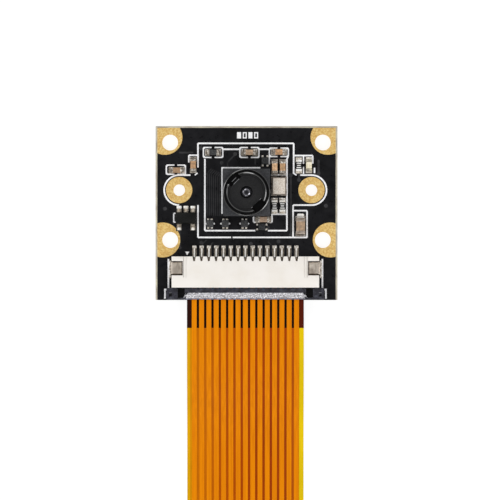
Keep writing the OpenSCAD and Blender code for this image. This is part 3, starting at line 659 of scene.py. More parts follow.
# Coated lens glass, blue-tinted filter glass, and the bare silicon sealed under them
LENS_GLASS = CoatedGlass("coated_lens_glass", "lens_glass", ("#040309", "#090713"), 1, 0.04)
FILTER_GLASS = CoatedGlass("tinted_filter_glass", "filter_glass", ("#5f8287", "#7fa3a8"), 2, 0.05)
SILICON = Finish("bare_silicon", "silicon", ("#343842", "#50545e"), 0.4, 0.2, metallic=0.6)
# Cream high-temperature nylon: even and slightly waxy
CREAM_NYLON = Finish("cream_nylon", "cream_plastic", ("#ebe5dc", "#efeae3", "#f2ede7"), 3, 0.48, grain=0.2,
                     depth=0.003)
# Dark grey moulding of the latch, and a near-black painted shade on the floors of its deep pockets
LATCH_NYLON = Finish("slate_nylon", "latch_plastic", ("#1d1e23", "#2b2a33", "#41434c"), 0.5, 0.42,
                     specular=0.3, grain=0.12, depth=0.006)
POCKET_PAINTED_SHADE = Finish("nylon_painted_pocket_shade", "latch_plastic", ("#050506", "#0b0b0d"), 0.5, 0.6, specular=0.15)
# The latch's sloped lip, speckled light grey, and the moulded edge below it, mid grey: lighter tones of the
# same nylon, painted highlights where these slopes catch the light
LIP_PAINTED_HIGHLIGHT = Finish("lip_painted_highlight", "latch_plastic", ("#68686d", "#b4b4b9", "#f6f6fa"), 0.17, 0.6, grain=0.12,
                   depth=0.01)
LATCH_EDGE_HIGHLIGHT = Finish("latch_edge_painted_highlight", "latch_plastic", ("#4e4d58", "#73727f", "#9c9baa"), 0.3, 0.5)
# Copper strips seen through amber film: saturated orange with long lighter streaks
FILMED_COPPER = Stranded("copper_under_film", "ribbon_copper", ("#d87900", "#de7f00", "#e58600"), 0.3, 0.5,
                         specular=0.05, stretch=(1, 40, 1), grain=0.4, depth=0.003)
# Backing film of the stiffeners: even blue polyester
STIFFENER = Finish("blue_polyester_film", "stiffener_film", ("#182552", "#20306a"), 2, 0.35)
# Black epoxy mould compound with fine filler grain, and the greyer compound of the smaller mouldings
MOULD_COMPOUND = Finish("epoxy_mould_compound", "mould_compound", ("#060706", "#0c0d0c", "#151615"), 0.12,
                        0.55, specular=0.15, grain=0.08, depth=0.004)
GREY_COMPOUND = Finish("grey_mould_compound", "mould_compound", ("#1f2021", "#2b2c2d", "#3a3b3d"), 0.15, 0.5,
                       specular=0.3)
# Sintered ferrite: dull dark grey
FERRITE = Finish("sintered_ferrite", "ferrite", ("#29292a", "#38393a", "#4b4c4d"), 0.2, 0.55, specular=0.3,
                 grain=0.1)
# Black glass glaze of the chip resistors: wet gloss
RESISTOR_GLAZE = Finish("black_glass_glaze", "resistor_glaze", ("#191a18", "#2a2a28"), 0.3, 0.22)
# Fired brown ceramic and dull nickel lid of the oscillator
BROWN_CERAMIC = Finish("fired_brown_ceramic", "ceramic_brown", ("#62574c", "#8a7f75", "#a2978b"), 0.2, 0.6)
MATT_LID = Finish("matt_nickel_lid", "lid_metal", ("#d3c5b5", "#efe2d3", "#fffaf0"), 0.14, 0.5, metallic=0.1,
                  grain=0.14, depth=0.006)
# Clear cast epoxy over the lamp's chip, creamy with a wet gloss, on its pale ceramic base
CAST_EPOXY = Finish("cast_clear_epoxy", "lamp_epoxy", ("#ddcfa6", "#eee5c9", "#fbf1dd"), 0.35, 0.25)
WHITE_CERAMIC = Finish("white_ceramic_base", "ceramic_white", ("#6b6257", "#a79f8f", "#d6d2b6"), 0.3, 0.5)


def fired_ceramic(node: str, tone: str) -> Finish:
    """Fired titanate ceramic: a warm brown body whose batches differ in tone.

    Args:
        node: The part that it is made for.
        tone: Its middle colour.

    Returns:
        The finish of that part.
    """
    parts = [int(tone[i : i + 2], 16) for i in (1, 3, 5)]
    # Darker patches, the tone itself and lighter patches
    shades = [
        "#" + "".join(f"{min(255, round(part * share)):02x}" for part in parts)
        for share in (0.86, 1, 1.14)
    ]
    return Finish(f"fired_titanate_{node}", "capacitor_ceramic", tuple(shades), 0.3, 0.5, grain=0.12)


def painted(
    piece: Piece, finishes: Sequence[Finish], chosen: Callable[[Face], int] = lambda face: 0
) -> Piece:
    """Gives a piece its finishes, face by face.

    Args:
        piece: The piece.
        finishes: The finishes.
        chosen: Says which of them a face gets, by number.

    Returns:
        The same piece.
    """
    for finish in finishes:
        piece.data.materials.append(finish.material())
    for face in piece.data.polygons:
        face.material_index = chosen(face)
    return piece


def fit(piece: Piece, finish: Finish, *nodes: str, body: Body = Body.ROOT) -> Piece:
    """Shrinks a piece from the bench into place, dresses it and lets it ride.

    Args:
        piece: The finished piece.
        finish: What it is made of, unless it is painted already.
        *nodes: The CAD nodes that it stands for.
        body: The body that it rides on.

    Returns:
        The same piece.
    """
    piece.data.transform(Matrix.Scale(MM, 4))
    if not piece.data.materials:
        piece.data.materials.append(finish.material())
    focus(piece)
    bpy.ops.object.shade_smooth_by_angle(angle=SMOOTH_BELOW)
    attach(piece, body.value)
    if nodes:
        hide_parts(*nodes)
    LOG.info("%s: %s, %d faces", piece.name, finish.name, len(piece.data.polygons))
    return piece


def refined(node: str, name: str, finish: Finish, width: float, rounds: int = 2) -> Piece:
    """Rounds the edges of a copy of a CAD node, which then stands for it.

    Args:
        node: The CAD node.
        name: Name of the piece.
        finish: What it is made of.
        width: Width of the rounding.
        rounds: Number of facets across it.

    Returns:
        The piece, fitted.
    """
    return fit(soften(recast(node, name), width, rounds), finish, node)


def dress(finish: Finish, *nodes: str) -> None:
    """Gives CAD nodes that keep their shape a finish.

    Args:
        finish: What they are made of.
        *nodes: The CAD nodes.
    """
    for node in nodes:
        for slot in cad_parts[node].material_slots:
            slot.material = finish.material()
        LOG.info("%s keeps its shape: %s", node, finish.name)


# ---------------------------------------------------------------- camera and cable


@dataclass
class Viewpoint:
    """The camera, straight above the board and a little below its middle.

    Attributes:
        stand: Where the camera stands, in millimetres.
        across: Width that it sees at the board's surface.
        level: Height of that surface.
        sensor: Width of the camera's sensor.
    """

    stand: Point = (0.48, -5.08, 350)
    across: float = 68.69
    level: float = 1
    sensor: float = 36

    def build(self) -> None:
        """Places the camera and makes it the scene's own."""
        deselect()
        bpy.ops.object.camera_add(location=[v * MM for v in self.stand], rotation=(0, 0, 0))
        camera = bpy.context.active_object
        camera.name = "view_from_above"
        camera.data.sensor_width = self.sensor
        camera.data.lens = self.sensor * (self.stand[2] - self.level) / self.across
        camera.data.clip_start = 0.01
        bpy.context.scene.camera = camera


@dataclass
class RibbonCable:
    """The flat cable: amber film, copper strips, stiffeners and tinned ends.

    Attributes:
        conductors: Number of copper strips.
        pitch: Their spacing, in millimetres.
        strip: Width of one strip.
        rise: How far a strip stands over the film.
        length: Whole length of the cable. Not used.
        gap_tones: Colour of the film over each gap, from the left, darker towards the right and lighter again
            at the last gap.
    """

    conductors: int = 15
    pitch: float = 1
    strip: float = 0.68
    rise: float = 0.04
    length: float = 150
    gap_tones: tuple[str, ...] = (
        "#c46b02", "#c16602", "#bb5f02", "#b15102", "#ad4c02", "#ac4b02", "#a84402",
        "#a34002", "#a03e02", "#9e3d02", "#9d3a02", "#a03d02", "#a03f02", "#b25203",
    )

    def __post_init__(self) -> None:
        """Takes the film's place and thickness from the model."""
        self.low, self.high = extent("ribbon_film")
        self.backing_low, self.backing_high = extent("near_stiffener")
        self.thick = extent("ribbon_conductors")[1].z - self.rise - self.backing_high.z
        self.middle_x = (self.low.x + self.high.x) / 2
        self.lying = self.thick / 2
        self.drop = self.backing_high.z

    def route(self) -> list[Vector]:
        """Middle line of the film as Y and Z, from inside the connector to the free end.

        The cable leaves the connector straight, comes down in one soft bend and then lies flat. Each point
        is the distance past the board's edge and the share of the drop that is still to come.

        Returns:
            The points.
        """
        low, high = extent("far_stiffener")
        end = (high.z - low.z) / self.drop
        points = [
            (-4.15, 1), (-3, 1), (-1, 1), (1, 1), (3, 1), (4.5, 1), (6.25, 0.98), (8.05, 0.92),
            (9.85, 0.82), (11.65, 0.68), (13.45, 0.5), (15.25, 0.32), (17.05, 0.18), (18.85, 0.08),
            (20.65, 0.02), (22.45, 0), (35, 0), (50, 0), (70, 0), (90, 0), (110, 0), (125, 0),
            (133, end / 2), (139, end), (145.65, end),
        ]
        edge = self.high.y + points[0][0]
        return [Vector((edge - out, self.lying + share * self.drop)) for out, share in points]

    def smooth_route(self, steps: int = 4) -> list[Pair]:
        """The route with its bends rounded, by a curve through every point.

        Args:
            steps: Number of steps between two points.

        Returns:
            The points.
        """
        knots = self.route()
        slopes = [
            0.0 if (b.y - a.y) * (c.y - b.y) <= 0 else (c.y - a.y) / (c.x - a.x)
            for a, b, c in zip(knots, knots[1:], knots[2:])
        ]
        line = []
        for a, b, lean_a, lean_b in zip(knots, knots[1:], [0.0, *slopes], [*slopes, 0.0]):
            run = b.x - a.x
            for t in (step / steps for step in range(steps)):
                height = (2 * t**3 - 3 * t**2 + 1) * a.y + (t**3 - 2 * t**2 + t) * run * lean_a
                height += (3 * t**2 - 2 * t**3) * b.y + (t**3 - t**2) * run * lean_b
                line.append((a.x + t * run, height))
        return line + [tuple(knots[-1])]

    def strip_along(self, name: str, x: Pair, low: float, high: float) -> Piece:
        """Runs a strip along the whole cable.

        Args:
            name: Name of the piece.
            x: Its two edges.
            low: Its underside, over the film's middle line.
            high: Its upper side, over the same line.

        Returns:
            The strip.
        """
        line = self.smooth_route()
        return prism_x(name, [(y, z + low) for y, z in line] + [(y, z + high) for y, z in reversed(line)], x)

    def film(self) -> Piece:
        """The amber film, whose bands follow what lies under it.

        Returns:
            The film, fitted.
        """
        width = self.high.x - self.low.x
        first = self.middle_x - self.pitch * (self.conductors - 1) / 2 - self.strip / 2 - self.low.x
        last = width - first
        gaps = [(first + self.pitch * i, tone) for i, tone in enumerate(self.gap_tones)]
        finish = BandedFilm(
            "amber_polyimide_film", "amber_film", ("#ececec", "#ffffff"), 6, 0.4, specular=0.05, grain=0.8,
            depth=0.004, left=self.low.x, width=width, backing_end=self.backing_low.y,
            over_floor=((0, "#dfa503"), (first * 0.55, "#d58a02"), *gaps, (last, "#e6c402")),
            over_backing=((0, "#2b0d05"), (first, "#160503"), (last, "#521300")),
        )
        film = self.strip_along("amber_film", (self.low.x, self.high.x), -self.thick / 2, self.thick / 2)
        return fit(soften(film, 0.03, above=60), finish, "ribbon_film")

    def copper(self) -> Piece:
        """The copper strips, each a low ridge under the film.

        Returns:
            The strips, fitted.
        """
        face = self.thick / 2
        strip = self.strip_along("strip", (-self.strip / 2, self.strip / 2), face - SINK, face + self.rise)
        soften(strip, 0.02, rounds=1, above=60)
        strips = set_out("copper_strips", strip, row(self.middle_x, self.conductors, self.pitch))
        return fit(strips, FILMED_COPPER, "ribbon_conductors")

    def build(self) -> None:
        film = self.film()
        goes_along = [
            self.copper(),
            refined("near_stiffener", "near_backing", STIFFENER, 0.03),
            refined("far_stiffener", "far_backing", STIFFENER, 0.03),
            refined("near_bare_contacts", "near_tinned_ends", TINNED, 0.008, rounds=1),
            refined("far_bare_contacts", "far_tinned_ends", TINNED, 0.008, rounds=1),
        ]
        path = [(self.middle_x * MM, y * MM, z * MM) for y, z in self.smooth_route()]


# ---------------------------------------------------------------- board


@dataclass
class Board:
    """The circuit board with its mask, lands and legend, and the copper that shows through the mask.

    Attributes:
        track: Width of a masked track, in millimetres.
        stagger: How much shorter each track of a bus is than the one before, as a share of their spacing.
        swell: How far the mask swells over copper.
        via: Outer diameter of a via's mask ring.
    """

    track: float = 0.13
    stagger: float = 0.4
    swell: float = 0.012
    via: float = 0.52

    def tracks(self, name: str, lines: Sequence[Track], z: Pair) -> Piece:
        """Masked tracks with mitred ends, joined and rounded like lacquer.

        Args:
            name: Name of the piece.
            lines: The tracks.
            z: Their lower and upper level.

        Returns:
            The piece, fitted.
        """
        made = []
        for start, end, width in lines:
            a, b = Vector(start), Vector(end)
            tip = (b - a).normalized() * width / 2
            side = (b - a).normalized().orthogonal() * width / 2
            outline = [a - side, a - tip, a + side, b + side, b + tip, b - side]
            made.append(prism_z("track", [tuple(p) for p in outline], z))
        return fit(soften(joined(name, made), 0.008, rounds=1), MASK_ON_COPPER)

    def bus(self, first: Pair, count: int, gap: float, run: float, bend: Pair) -> list[Track]:
        """Tracks that run side by side along Y, each a little shorter, and then turn off at an angle.

        Args:
            first: Start of the first track.
            count: Number of tracks.
            gap: Their spacing, along X.
            run: How far the first one runs before its bend.
            bend: X and Y that each covers after it.

        Returns:
            The tracks.
        """
        lines = []
        for i in range(count):
            x, y = first[0] + i * gap, first[1]
            knee = (x, y + run - self.stagger * gap * i)
            lines += [((x, y), knee, self.track), (knee, (knee[0] + bend[0], knee[1] + bend[1]), self.track)]
        return lines

    def vias(self, name: str, places: Sequence[Pair], level: float, up: float) -> Piece:
        """Tented vias: low rings of mask with a dimple in each.

        Args:
            name: Name of the piece.
            places: X and Y of each via.
            level: Height of the mask's surface.
            up: 1 on the front and -1 on the back.

        Returns:
            The piece, fitted.
        """
        # Share of the radius, and of the ring's height, at each corner
        profile = [(1, 0), (0.86, 1), (0.55, 1), (0.3, 0.3), (0, 0.2)]
        outer, foot, height = self.via / 2, level - up * 2 * SINK, up * self.swell * 1.6
        section = [(0, foot), (outer, foot), *[(outer * out, level + height * rise) for out, rise in profile]]
        rings = set_out(name, turned("via", section, 20), [(x, y, 0) for x, y in places])
        return fit(rings, MASK_ON_COPPER)

    def build(self) -> None:
        """Dresses the board and lays what shows through its mask."""
        dress(GLASS_EPOXY, "board_laminate")
        dress(SOLDER_MASK, "front_solder_mask", "back_solder_mask")
        dress(IMMERSION_GOLD, "plated_holes")
        dress(TINNED, "component_pads")
        dress(LEGEND_INK, "printed_legend")
        top, bottom = extent("front_solder_mask")[1].z, extent("back_solder_mask")[0].z
        front = [
            *self.bus((-5.35, -0.35), 8, 0.27, 5.9, (0.5, 0.5)),
            *self.bus((-6.0, -5.3), 5, 0.9, 1.1, (0.5, 0.5)),
            *self.bus((3.4, -5.3), 3, 0.9, 0.9, (-0.45, 0.45)),
            ((-9.2, -1.9), (-9.2, -4.6), 0.3), ((9.9, 7.2), (9.9, 5.6), 0.3), ((7.2, 5.4), (7.2, 4.7), 0.2),
            ((-7.4, 8.3), (-9.2, 8.3), 0.25), ((6.1, -2.9), (6.1, 5.0), 0.2), ((-1.6, 8.0), (-2.6, 7.0), 0.2),
            ((-2.6, 7.0), (-2.6, 6.4), 0.2), ((1.2, 7.6), (1.2, 6.7), 0.2),
        ]
        back = [
            *self.bus((-6.5, -9.5), 14, 0.95, 6.5, (0.8, 0.8)), ((-6.2, 8.8), (6.2, 8.8), 0.5),
            ((-6.2, 7.6), (4.8, 7.6), 0.3), ((-7.0, 0.6), (-7.0, 6.4), 0.4), ((7.0, 0.2), (7.0, 6.4), 0.4),
        ]
        through = [
            (-6.2, -4.1), (2.9, -2.0), (6.05, -3.0), (-9.2, -4.75), (9.9, 5.45), (6.05, 5.2), (-1.55, 8.1),
            (7.2, 4.55), (-6.25, 8.9), (10.9, 1.0), (-11.2, 0.6), (0.6, -4.2), (4.4, -3.9), (-3.4, 6.9),
        ]
        self.tracks("front_tracks", front, (top - SINK, top + self.swell))
        self.tracks("back_tracks", back, (bottom - self.swell, bottom + SINK))
        self.vias("front_vias", through, top, 1)
        self.vias("back_vias", through, bottom, -1)


# ---------------------------------------------------------------- lens


@dataclass
class Lens:
    """The lens holder with its glued barrel and the glass inside.

    Attributes:
        thread: Pitch of the barrel's thread, in millimetres.
        shank: Radius over the thread.
        bore: Radius inside it.
        notch: Width of the two focusing notches.
        notch_in: How far from the axis the notches reach.
        glass: Radius of the front glass.
        cap: Radius and rise of its domed cap.
    """

    thread: float = 0.35
    shank: float = 2.5
    bore: float = 1.82
    notch: float = 1.9
    notch_in: float = 1.98
    glass: float = 1.8
    cap: Pair = (0.61, 0.12)

    def __post_init__(self) -> None:
        """Takes the axis and the levels of the barrel from the model."""
        low, high = extent("lens_barrel")
        self.foot, self.top = low.z, high.z
        self.head = (high.x - low.x) / 2
        self.holder_top = extent("lens_holder")[1].z
        self.axis = middle("lens_barrel")

    def holder(self) -> Piece:
        """The square holder with its soft moulded edges and a collar round the barrel.

        Returns:
            The holder, fitted.
        """
        body = soften(recast("lens_holder", "square_holder"), 0.11, rounds=3, above=60)
        painted(body, [HOLDER_PLASTIC])
        # Distance out from the barrel, and height over the holder, of each corner of the collar
        profile = [(0.04, -0.1), (0.04, 0.08), (0.06, 0.1), (0.17, 0.068), (0.2, -0.1)]
        collar = turned("collar", [(self.head + out, self.holder_top + up) for out, up in profile], 96)
        painted(moved(collar, self.axis), [BARREL_RIM])
        return fit(joined("square_holder", [body, collar]), HOLDER_PLASTIC, "lens_holder")

    def barrel_section(self) -> list[Pair]:
        """Half section of the barrel, with its thread, stepped face and aperture.

        Returns:
            Radius and height of each corner.
        """
        root, shoulder = self.shank - 0.09, self.holder_top + 0.1
        threads = []
        level = self.foot + 0.2
        while level < shoulder - self.thread:
            threads += [(root, level), (self.shank, level + self.thread / 2)]
            level += self.thread
        # Radius, and depth below the top, from the rim over the chamfer and the face into the aperture
        profile = [
            (self.head, 0.13), (self.head - 0.02, 0.08), (self.head - 0.19, 0.01), (self.head - 0.24, 0),
            (2.72, 0), (2.7, 0.008), (2.56, 0.062), (2.54, 0.09), (2.48, 0.25), (2.3, 0.25), (2.26, 0.29),
            (1.25, 0.3), (1.15, 0.26), (0.92, 0.25), (0.84, 0.28), (0.8, 0.34), (0.63, 0.8),
        ]
        return [
            (self.bore, self.top - 0.8), (self.bore, self.foot), (root, self.foot), *threads,
            (root, shoulder), (self.head - 0.12, shoulder), (self.head, shoulder + 0.1),
            *[(radius, self.top - depth) for radius, depth in profile],
        ]

    def notch_highlight(self, turn: float, start: float, end: float, out: float, depth: float) -> Piece:
        """A painted highlight: a pale strip along an edge of a focusing notch, where the edge catches the
        light.

        Args:
            turn: Direction of the notch, in degrees.
            start: Where the edge starts, across the notch.
            end: Where it ends.
            out: How far it lies outside the notch's inner wall.
            depth: How far it lies below the barrel's top.

        Returns:
            The edge.
        """
        reach, foot = self.notch_in + out, self.top - depth
        edge = slab("notch_highlight", (reach - 0.045, start, foot), (reach + 0.03, end, foot + 0.04))
        return painted(moved(edge, (0, 0), turn), [NOTCH_EDGE_HIGHLIGHT])

    def barrel_finish(self, face: Face) -> int:
        """Which finish a face of the barrel gets: 1 on the inner face, 2 on the chamfer, 0, the black deepened
        to painted shade, elsewhere.

        Args:
            face: The face, before the barrel is moved to its axis.

        Returns:
            The number of the finish.
        """
        out, lean = face.center.xy.length, face.normal.z
        if out < self.shank and lean > 0.8 and face.center.z > self.top - 0.6:
            return 1
        return 2 if 2.54 < out < 2.71 and 0.9 < lean < 0.96 else 0

    def barrel(self) -> Piece:
        """The barrel: turned, then notched for the focusing tool.

        Returns:
            The barrel, fitted.
        """
        barrel = turned("barrel", self.barrel_section(), 96)
        outer, over = self.head + 1, self.top + 1
        notches, nicks = (135, -48), (168, 12, 78, -100)  # directions, in degrees
        for turns, inner, width, depth in ((notches, self.notch_in, self.notch, 0.5),
                                           (nicks, self.head - 0.14, 0.32, 0.3)):
            for turn in turns:
                gap = slab("gap", (inner, -width / 2, self.top - depth), (outer, width / 2, over))
                cut(barrel, moved(gap, (0, 0), turn))
        soften(barrel, 0.02, rounds=1, above=50)
        painted(barrel, [BARREL_BLACK_AND_SHADE, BARREL_FACE, BARREL_RIM], self.barrel_finish)
        # Painted highlights along edges of the two focusing notches
        notch_highlights = [self.notch_highlight(135, -0.55, 0.5, 0, 0.27), self.notch_highlight(135, -0.45, 0.4, 0.42, 0.5),
                  self.notch_highlight(-48, -0.95, -0.72, 0.06, 0.27), self.notch_highlight(-48, 0.6, 0.92, -0.02, 0.27)]
        barrel = moved(joined("lens_barrel_head", [barrel, *notch_highlights]), self.axis)
        return fit(barrel, BARREL_BLACK_AND_SHADE, "lens_barrel")

    def front_glass(self) -> Piece:
        """The front element: a disc with a domed cap in the aperture.

        Returns:
            The element, fitted.
        """
        low, high = extent("front_lens")
        reach, rise = self.cap
        ball = (reach**2 + rise**2) / (2 * rise)
        steps = 12
        angles = [math.asin(reach / ball) * i / steps for i in range(steps, -1, -1)]
        dome = [(ball * math.sin(angle), high.z - ball * (1 - math.cos(angle))) for angle in angles]
        section = [(0, low.z), (self.glass, low.z), (self.glass, high.z - rise), *dome]
        glass = moved(turned("domed_front_glass", section, 48), self.axis)
        return fit(glass, LENS_GLASS, "front_lens")

    def build(self) -> None:
        """Makes the holder, the barrel and its glass."""
        self.holder()
        self.barrel()
        self.front_glass()
        dress(LENS_GLASS, "middle_lens", "rear_lens")
        dress(BARREL_BLACK_AND_SHADE, "lens_retainer")
        dress(FILTER_GLASS, "infrared_filter")
        dress(SILICON, "image_sensor")


# ---------------------------------------------------------------- connector


@dataclass
class Connector:
    """The ribbon connector: cream housing, contacts, tabs and the sliding latch.

    Attributes:
        contacts: Number of contacts.
        pitch: Their spacing, in millimetres.
        width: Width of a contact.
        metal: Thickness of its foot.
        slot: Width of its slot in the housing.
        frame_width: Width of the pressed frame round a tab.
        lip_end: From the connector's middle to each end of the latch's lip.
        drawn_in: How much shorter the lip is at its crest, at each end.
        pocket_floor: Level of the floor of the pockets beside the lip.
    """

    contacts: int = 15
    pitch: float = 1
    width: float = 0.35
    metal: float = 0.2
    slot: float = 0.46
    frame_width: float = 0.13
    lip_end: float = 8.25
    drawn_in: float = 0.42
    pocket_floor: float = 2.2

    def __post_init__(self) -> None:
        """Takes the housing's and the contacts' places from the model."""
        low, self.high = extent("connector_housing")
        self.pin_low, self.pin_high = extent("connector_contacts")
        self.middle_x = (low.x + self.high.x) / 2
        self.places = row(self.middle_x, self.contacts, self.pitch)

    def housing(self) -> Piece:
        """The cream moulding, with the witness lines of its mould and the webs of its slots.

        Returns:
            The housing, fitted.
        """
        body = soften(recast("connector_housing", "cream_housing"), 0.05, above=60)
        rear, top = self.high.y, self.high.z
        for side in (-1, 1):
            # Distance from the middle, width, depth and length of each witness line
            for reach, width, depth, end in ((8.43, 0.07, 0.3, 2.85), (8.1, 0.05, 0.06, 2.9)):
                line = self.middle_x + side * reach
                groove = slab("groove", (line - width / 2, rear - end, top - depth),
                              (line + width / 2, rear + 1, top + 1))
                cut(body, groove)
        half, back = self.slot / 2 + SINK, rear - SINK
        web = [(-half, back), (-half, back - 0.85), (half, back - 0.85), (half, back), (half - 0.02, back),
               (0.12, back - 0.62), (-0.12, back - 0.62), (0.02 - half, back)]
        levels = (self.pin_high.z + 0.03, top - 2 * SINK)
        webs = set_out("slot_webs", prism_z("web", web, levels), self.places)
        return fit(joined("cream_housing", [body, webs]), CREAM_NYLON, "connector_housing")

    def pins(self) -> Piece:
        """The contacts: a flat foot, a shoulder at the housing and a tip that narrows into its slot.

        Returns:
            The contacts, fitted.
        """
        seat, beam, face = self.pin_low.z, self.pin_high.z, self.pin_low.z + self.metal
        tip, rear, foot = self.pin_low.y, self.high.y, self.pin_high.y
        outline = [(foot, seat), (foot, seat + self.metal * 0.7), (foot - 0.1, face), (rear - 0.05, face),
                   (rear - 0.16, seat + 0.5), (rear - 0.3, beam), (tip, beam), (tip, beam - 0.2),
                   (rear - 0.62, beam - 0.2), (rear - 0.72, seat)]
        pin = prism_x("pin", outline, (-self.width / 2, self.width / 2))
        with editing(pin, wanted=lambda point: point.co.y < rear - 0.5):
            bpy.ops.transform.resize(value=(0.6, 1, 1))
        half_up = seat + self.metal / 2
        with editing(pin, wanted=lambda point: point.co.z > half_up and point.co.y > rear - 0.4):
            bpy.ops.transform.resize(value=(0.7, 1, 1))
        # Painted shade: darker brown on the contact inside the housing. Painted highlight: near-white tin on
        # its upward faces
        painted(soften(pin, 0.07, rounds=3), [TINNED, SOLDER_PAINTED_SHADE, TIN_PAINTED_HIGHLIGHT],
                lambda face: 1 if face.center.y < rear - 0.08 else 2 * (face.normal.z > 0.6))
        return fit(set_out("contact_pins", pin, self.places), TINNED, "connector_contacts")

    def pin_solder(self) -> Piece:
        """A mound of solder round the end of each foot, and a thin fillet along its sides.

        Returns:
            The solder, fitted.
        """
        foot, rear, seat = self.pin_high.y, self.high.y, self.pin_low.z
        heel = slab("heel", (-0.3, foot - 0.32, seat - SINK), (0.3, foot + 0.11, seat + self.metal * 1.25))
        # Painted shade: darker brown solder on the heel's low faces
        painted(soften(heel, 0.13, rounds=4), [SOLDER, SOLDER_PAINTED_SHADE],
                lambda face: int(face.center.z < seat + self.metal * 0.4))
        side = slab("fillet", (-0.29, rear + 0.06, seat - SINK), (0.29, foot - 0.1, seat + self.metal * 0.8))
        with editing(side, wanted=lambda point: point.co.z > seat):
            bpy.ops.transform.resize(value=(0.52, 1, 1))
        with editing(side, wanted=lambda point: point.co.y < rear + 0.3):
            bpy.ops.transform.resize(value=(0.8, 1, 1))
        # Painted shade: the side fillets are darker brown solder
        painted(soften(side, 0.04), [SOLDER_PAINTED_SHADE])
        return fit(set_out("contact_solder", joined("mound", [heel, side]), self.places), SOLDER)

    def tab(self, side: str, out: int) -> None:
        """A solder tab, with a pressed frame at its edges, painted dark as shade, and solder along its foot.

        Args:
            side: Left or right.
            out: The way that its outer edge faces along X, as -1 or 1.
        """
        node = f"{side}_hold_down"
        low, high = extent(node)
        tab = recast(node, f"{side}_tab")
        with editing(tab, Pick.FACES, lambda face: face.normal.z > 0.9 and face.center.z > high.z - SINK):
            bpy.ops.mesh.inset(thickness=self.frame_width, depth=-0.04)
        centre, inner = (low + high) / 2, (high - low) / 2 - Vector((1, 1, 0)) * (self.frame_width + SINK)

        def on_frame(face: Face) -> int:
            """Whether a face is part of the frame, which gets the painted shade."""
            off = face.center - centre
            return int(abs(off.x) > inner.x or abs(off.y) > inner.y)

        fit(painted(soften(tab, 0.035), [BRUSHED_NICKEL, TAB_FRAME_SHADE], on_frame), BRUSHED_NICKEL, node)
        edge = high.x if out > 0 else low.x
        foot = slab(f"{side}_tab_solder", (edge - out * 0.18, low.y - 0.55, low.z - SINK),
                    (edge + out * 0.17, high.y + 0.2, low.z + 0.3))
        with editing(foot, wanted=lambda point: point.co.z > low.z + 0.1):
            bpy.ops.transform.resize(value=(0.6, 0.85, 1))
        fit(soften(foot, 0.06, rounds=3), SOLDER)

    def latch(self) -> Piece:
        """The sliding latch, whose sloped lip ends in slanted wings and has a coarser face, with painted
        highlights on its slopes and painted shade on its pocket floors.

        Returns:
            The latch, fitted.
        """
        latch = recast("connector_latch", "sliding_latch")
        low, high = extent("connector_latch")
        for side in (-1, 1):
            inner, outer = [self.middle_x + side * (self.lip_end + reach) for reach in (0.05, 1)]
            back, over = high.y + 0.5, high.z + 1
            cut(latch, slab("pocket", (inner, low.y + 0.24, self.pocket_floor), (outer, back, over)))
        with editing(latch, wanted=lambda point: abs(abs(point.co.x - self.middle_x) - self.lip_end) < 0.03
                     and point.co.z > high.z - 0.05):
            bpy.ops.transform.resize(value=(1 - self.drawn_in / self.lip_end, 1, 1))
        ramp = [(low.y + 0.2, high.z - 0.8), (low.y + 0.2, high.z - 0.5), (low.y + 0.9, high.z - 0.03),
                (low.y + 0.9, high.z - 0.8)]
        wings = []
        for side in (-1, 1):
            ends = tuple(self.middle_x + side * (self.lip_end + out) for out in (-0.1, 0.3))
            wing = prism_x("wing", ramp, ends)
            with editing(wing, wanted=lambda point: point.co.y > low.y + 0.5
                         and abs(point.co.x - self.middle_x) > self.lip_end):
                bpy.ops.transform.translate(value=(-0.55 * side, 0, 0))
            wings.append(wing)

        def part(face: Face) -> int:
            """Which finish a face gets: 1, a painted highlight, on the lip, 2, a painted shade, on a pocket's
            floor, 3, a painted highlight, on the edge below the lip.

            Args:
                face: The face.

            Returns:
                The number of the finish, and 0 elsewhere.
            """
            at, facing = face.center, face.normal
            sloped = facing.y < -0.3 and facing.z > 0.3
            if sloped and high.z - 0.5 < at.z < high.z - 0.02:
                return 1
            if abs(at.z - self.pocket_floor) < 0.02 and facing.z > 0.9:
                return 2
            return 3 if sloped and at.y < low.y + 0.2 and abs(at.x - self.middle_x) < self.lip_end else 0

        soften(joined("sliding_latch", [latch, *wings]), 0.04, above=25)
        painted(latch, [LATCH_NYLON, LIP_PAINTED_HIGHLIGHT, POCKET_PAINTED_SHADE, LATCH_EDGE_HIGHLIGHT], part)
        return fit(latch, LATCH_NYLON, "connector_latch", body=Body.LATCH)

    def build(self) -> None:
        """Makes the connector and its latch."""
        self.housing()
        self.pins()
        self.pin_solder()
        self.tab("left", -1)
        self.tab("right", 1)
        self.latch()


# ---------------------------------------------------------------- parts on the board


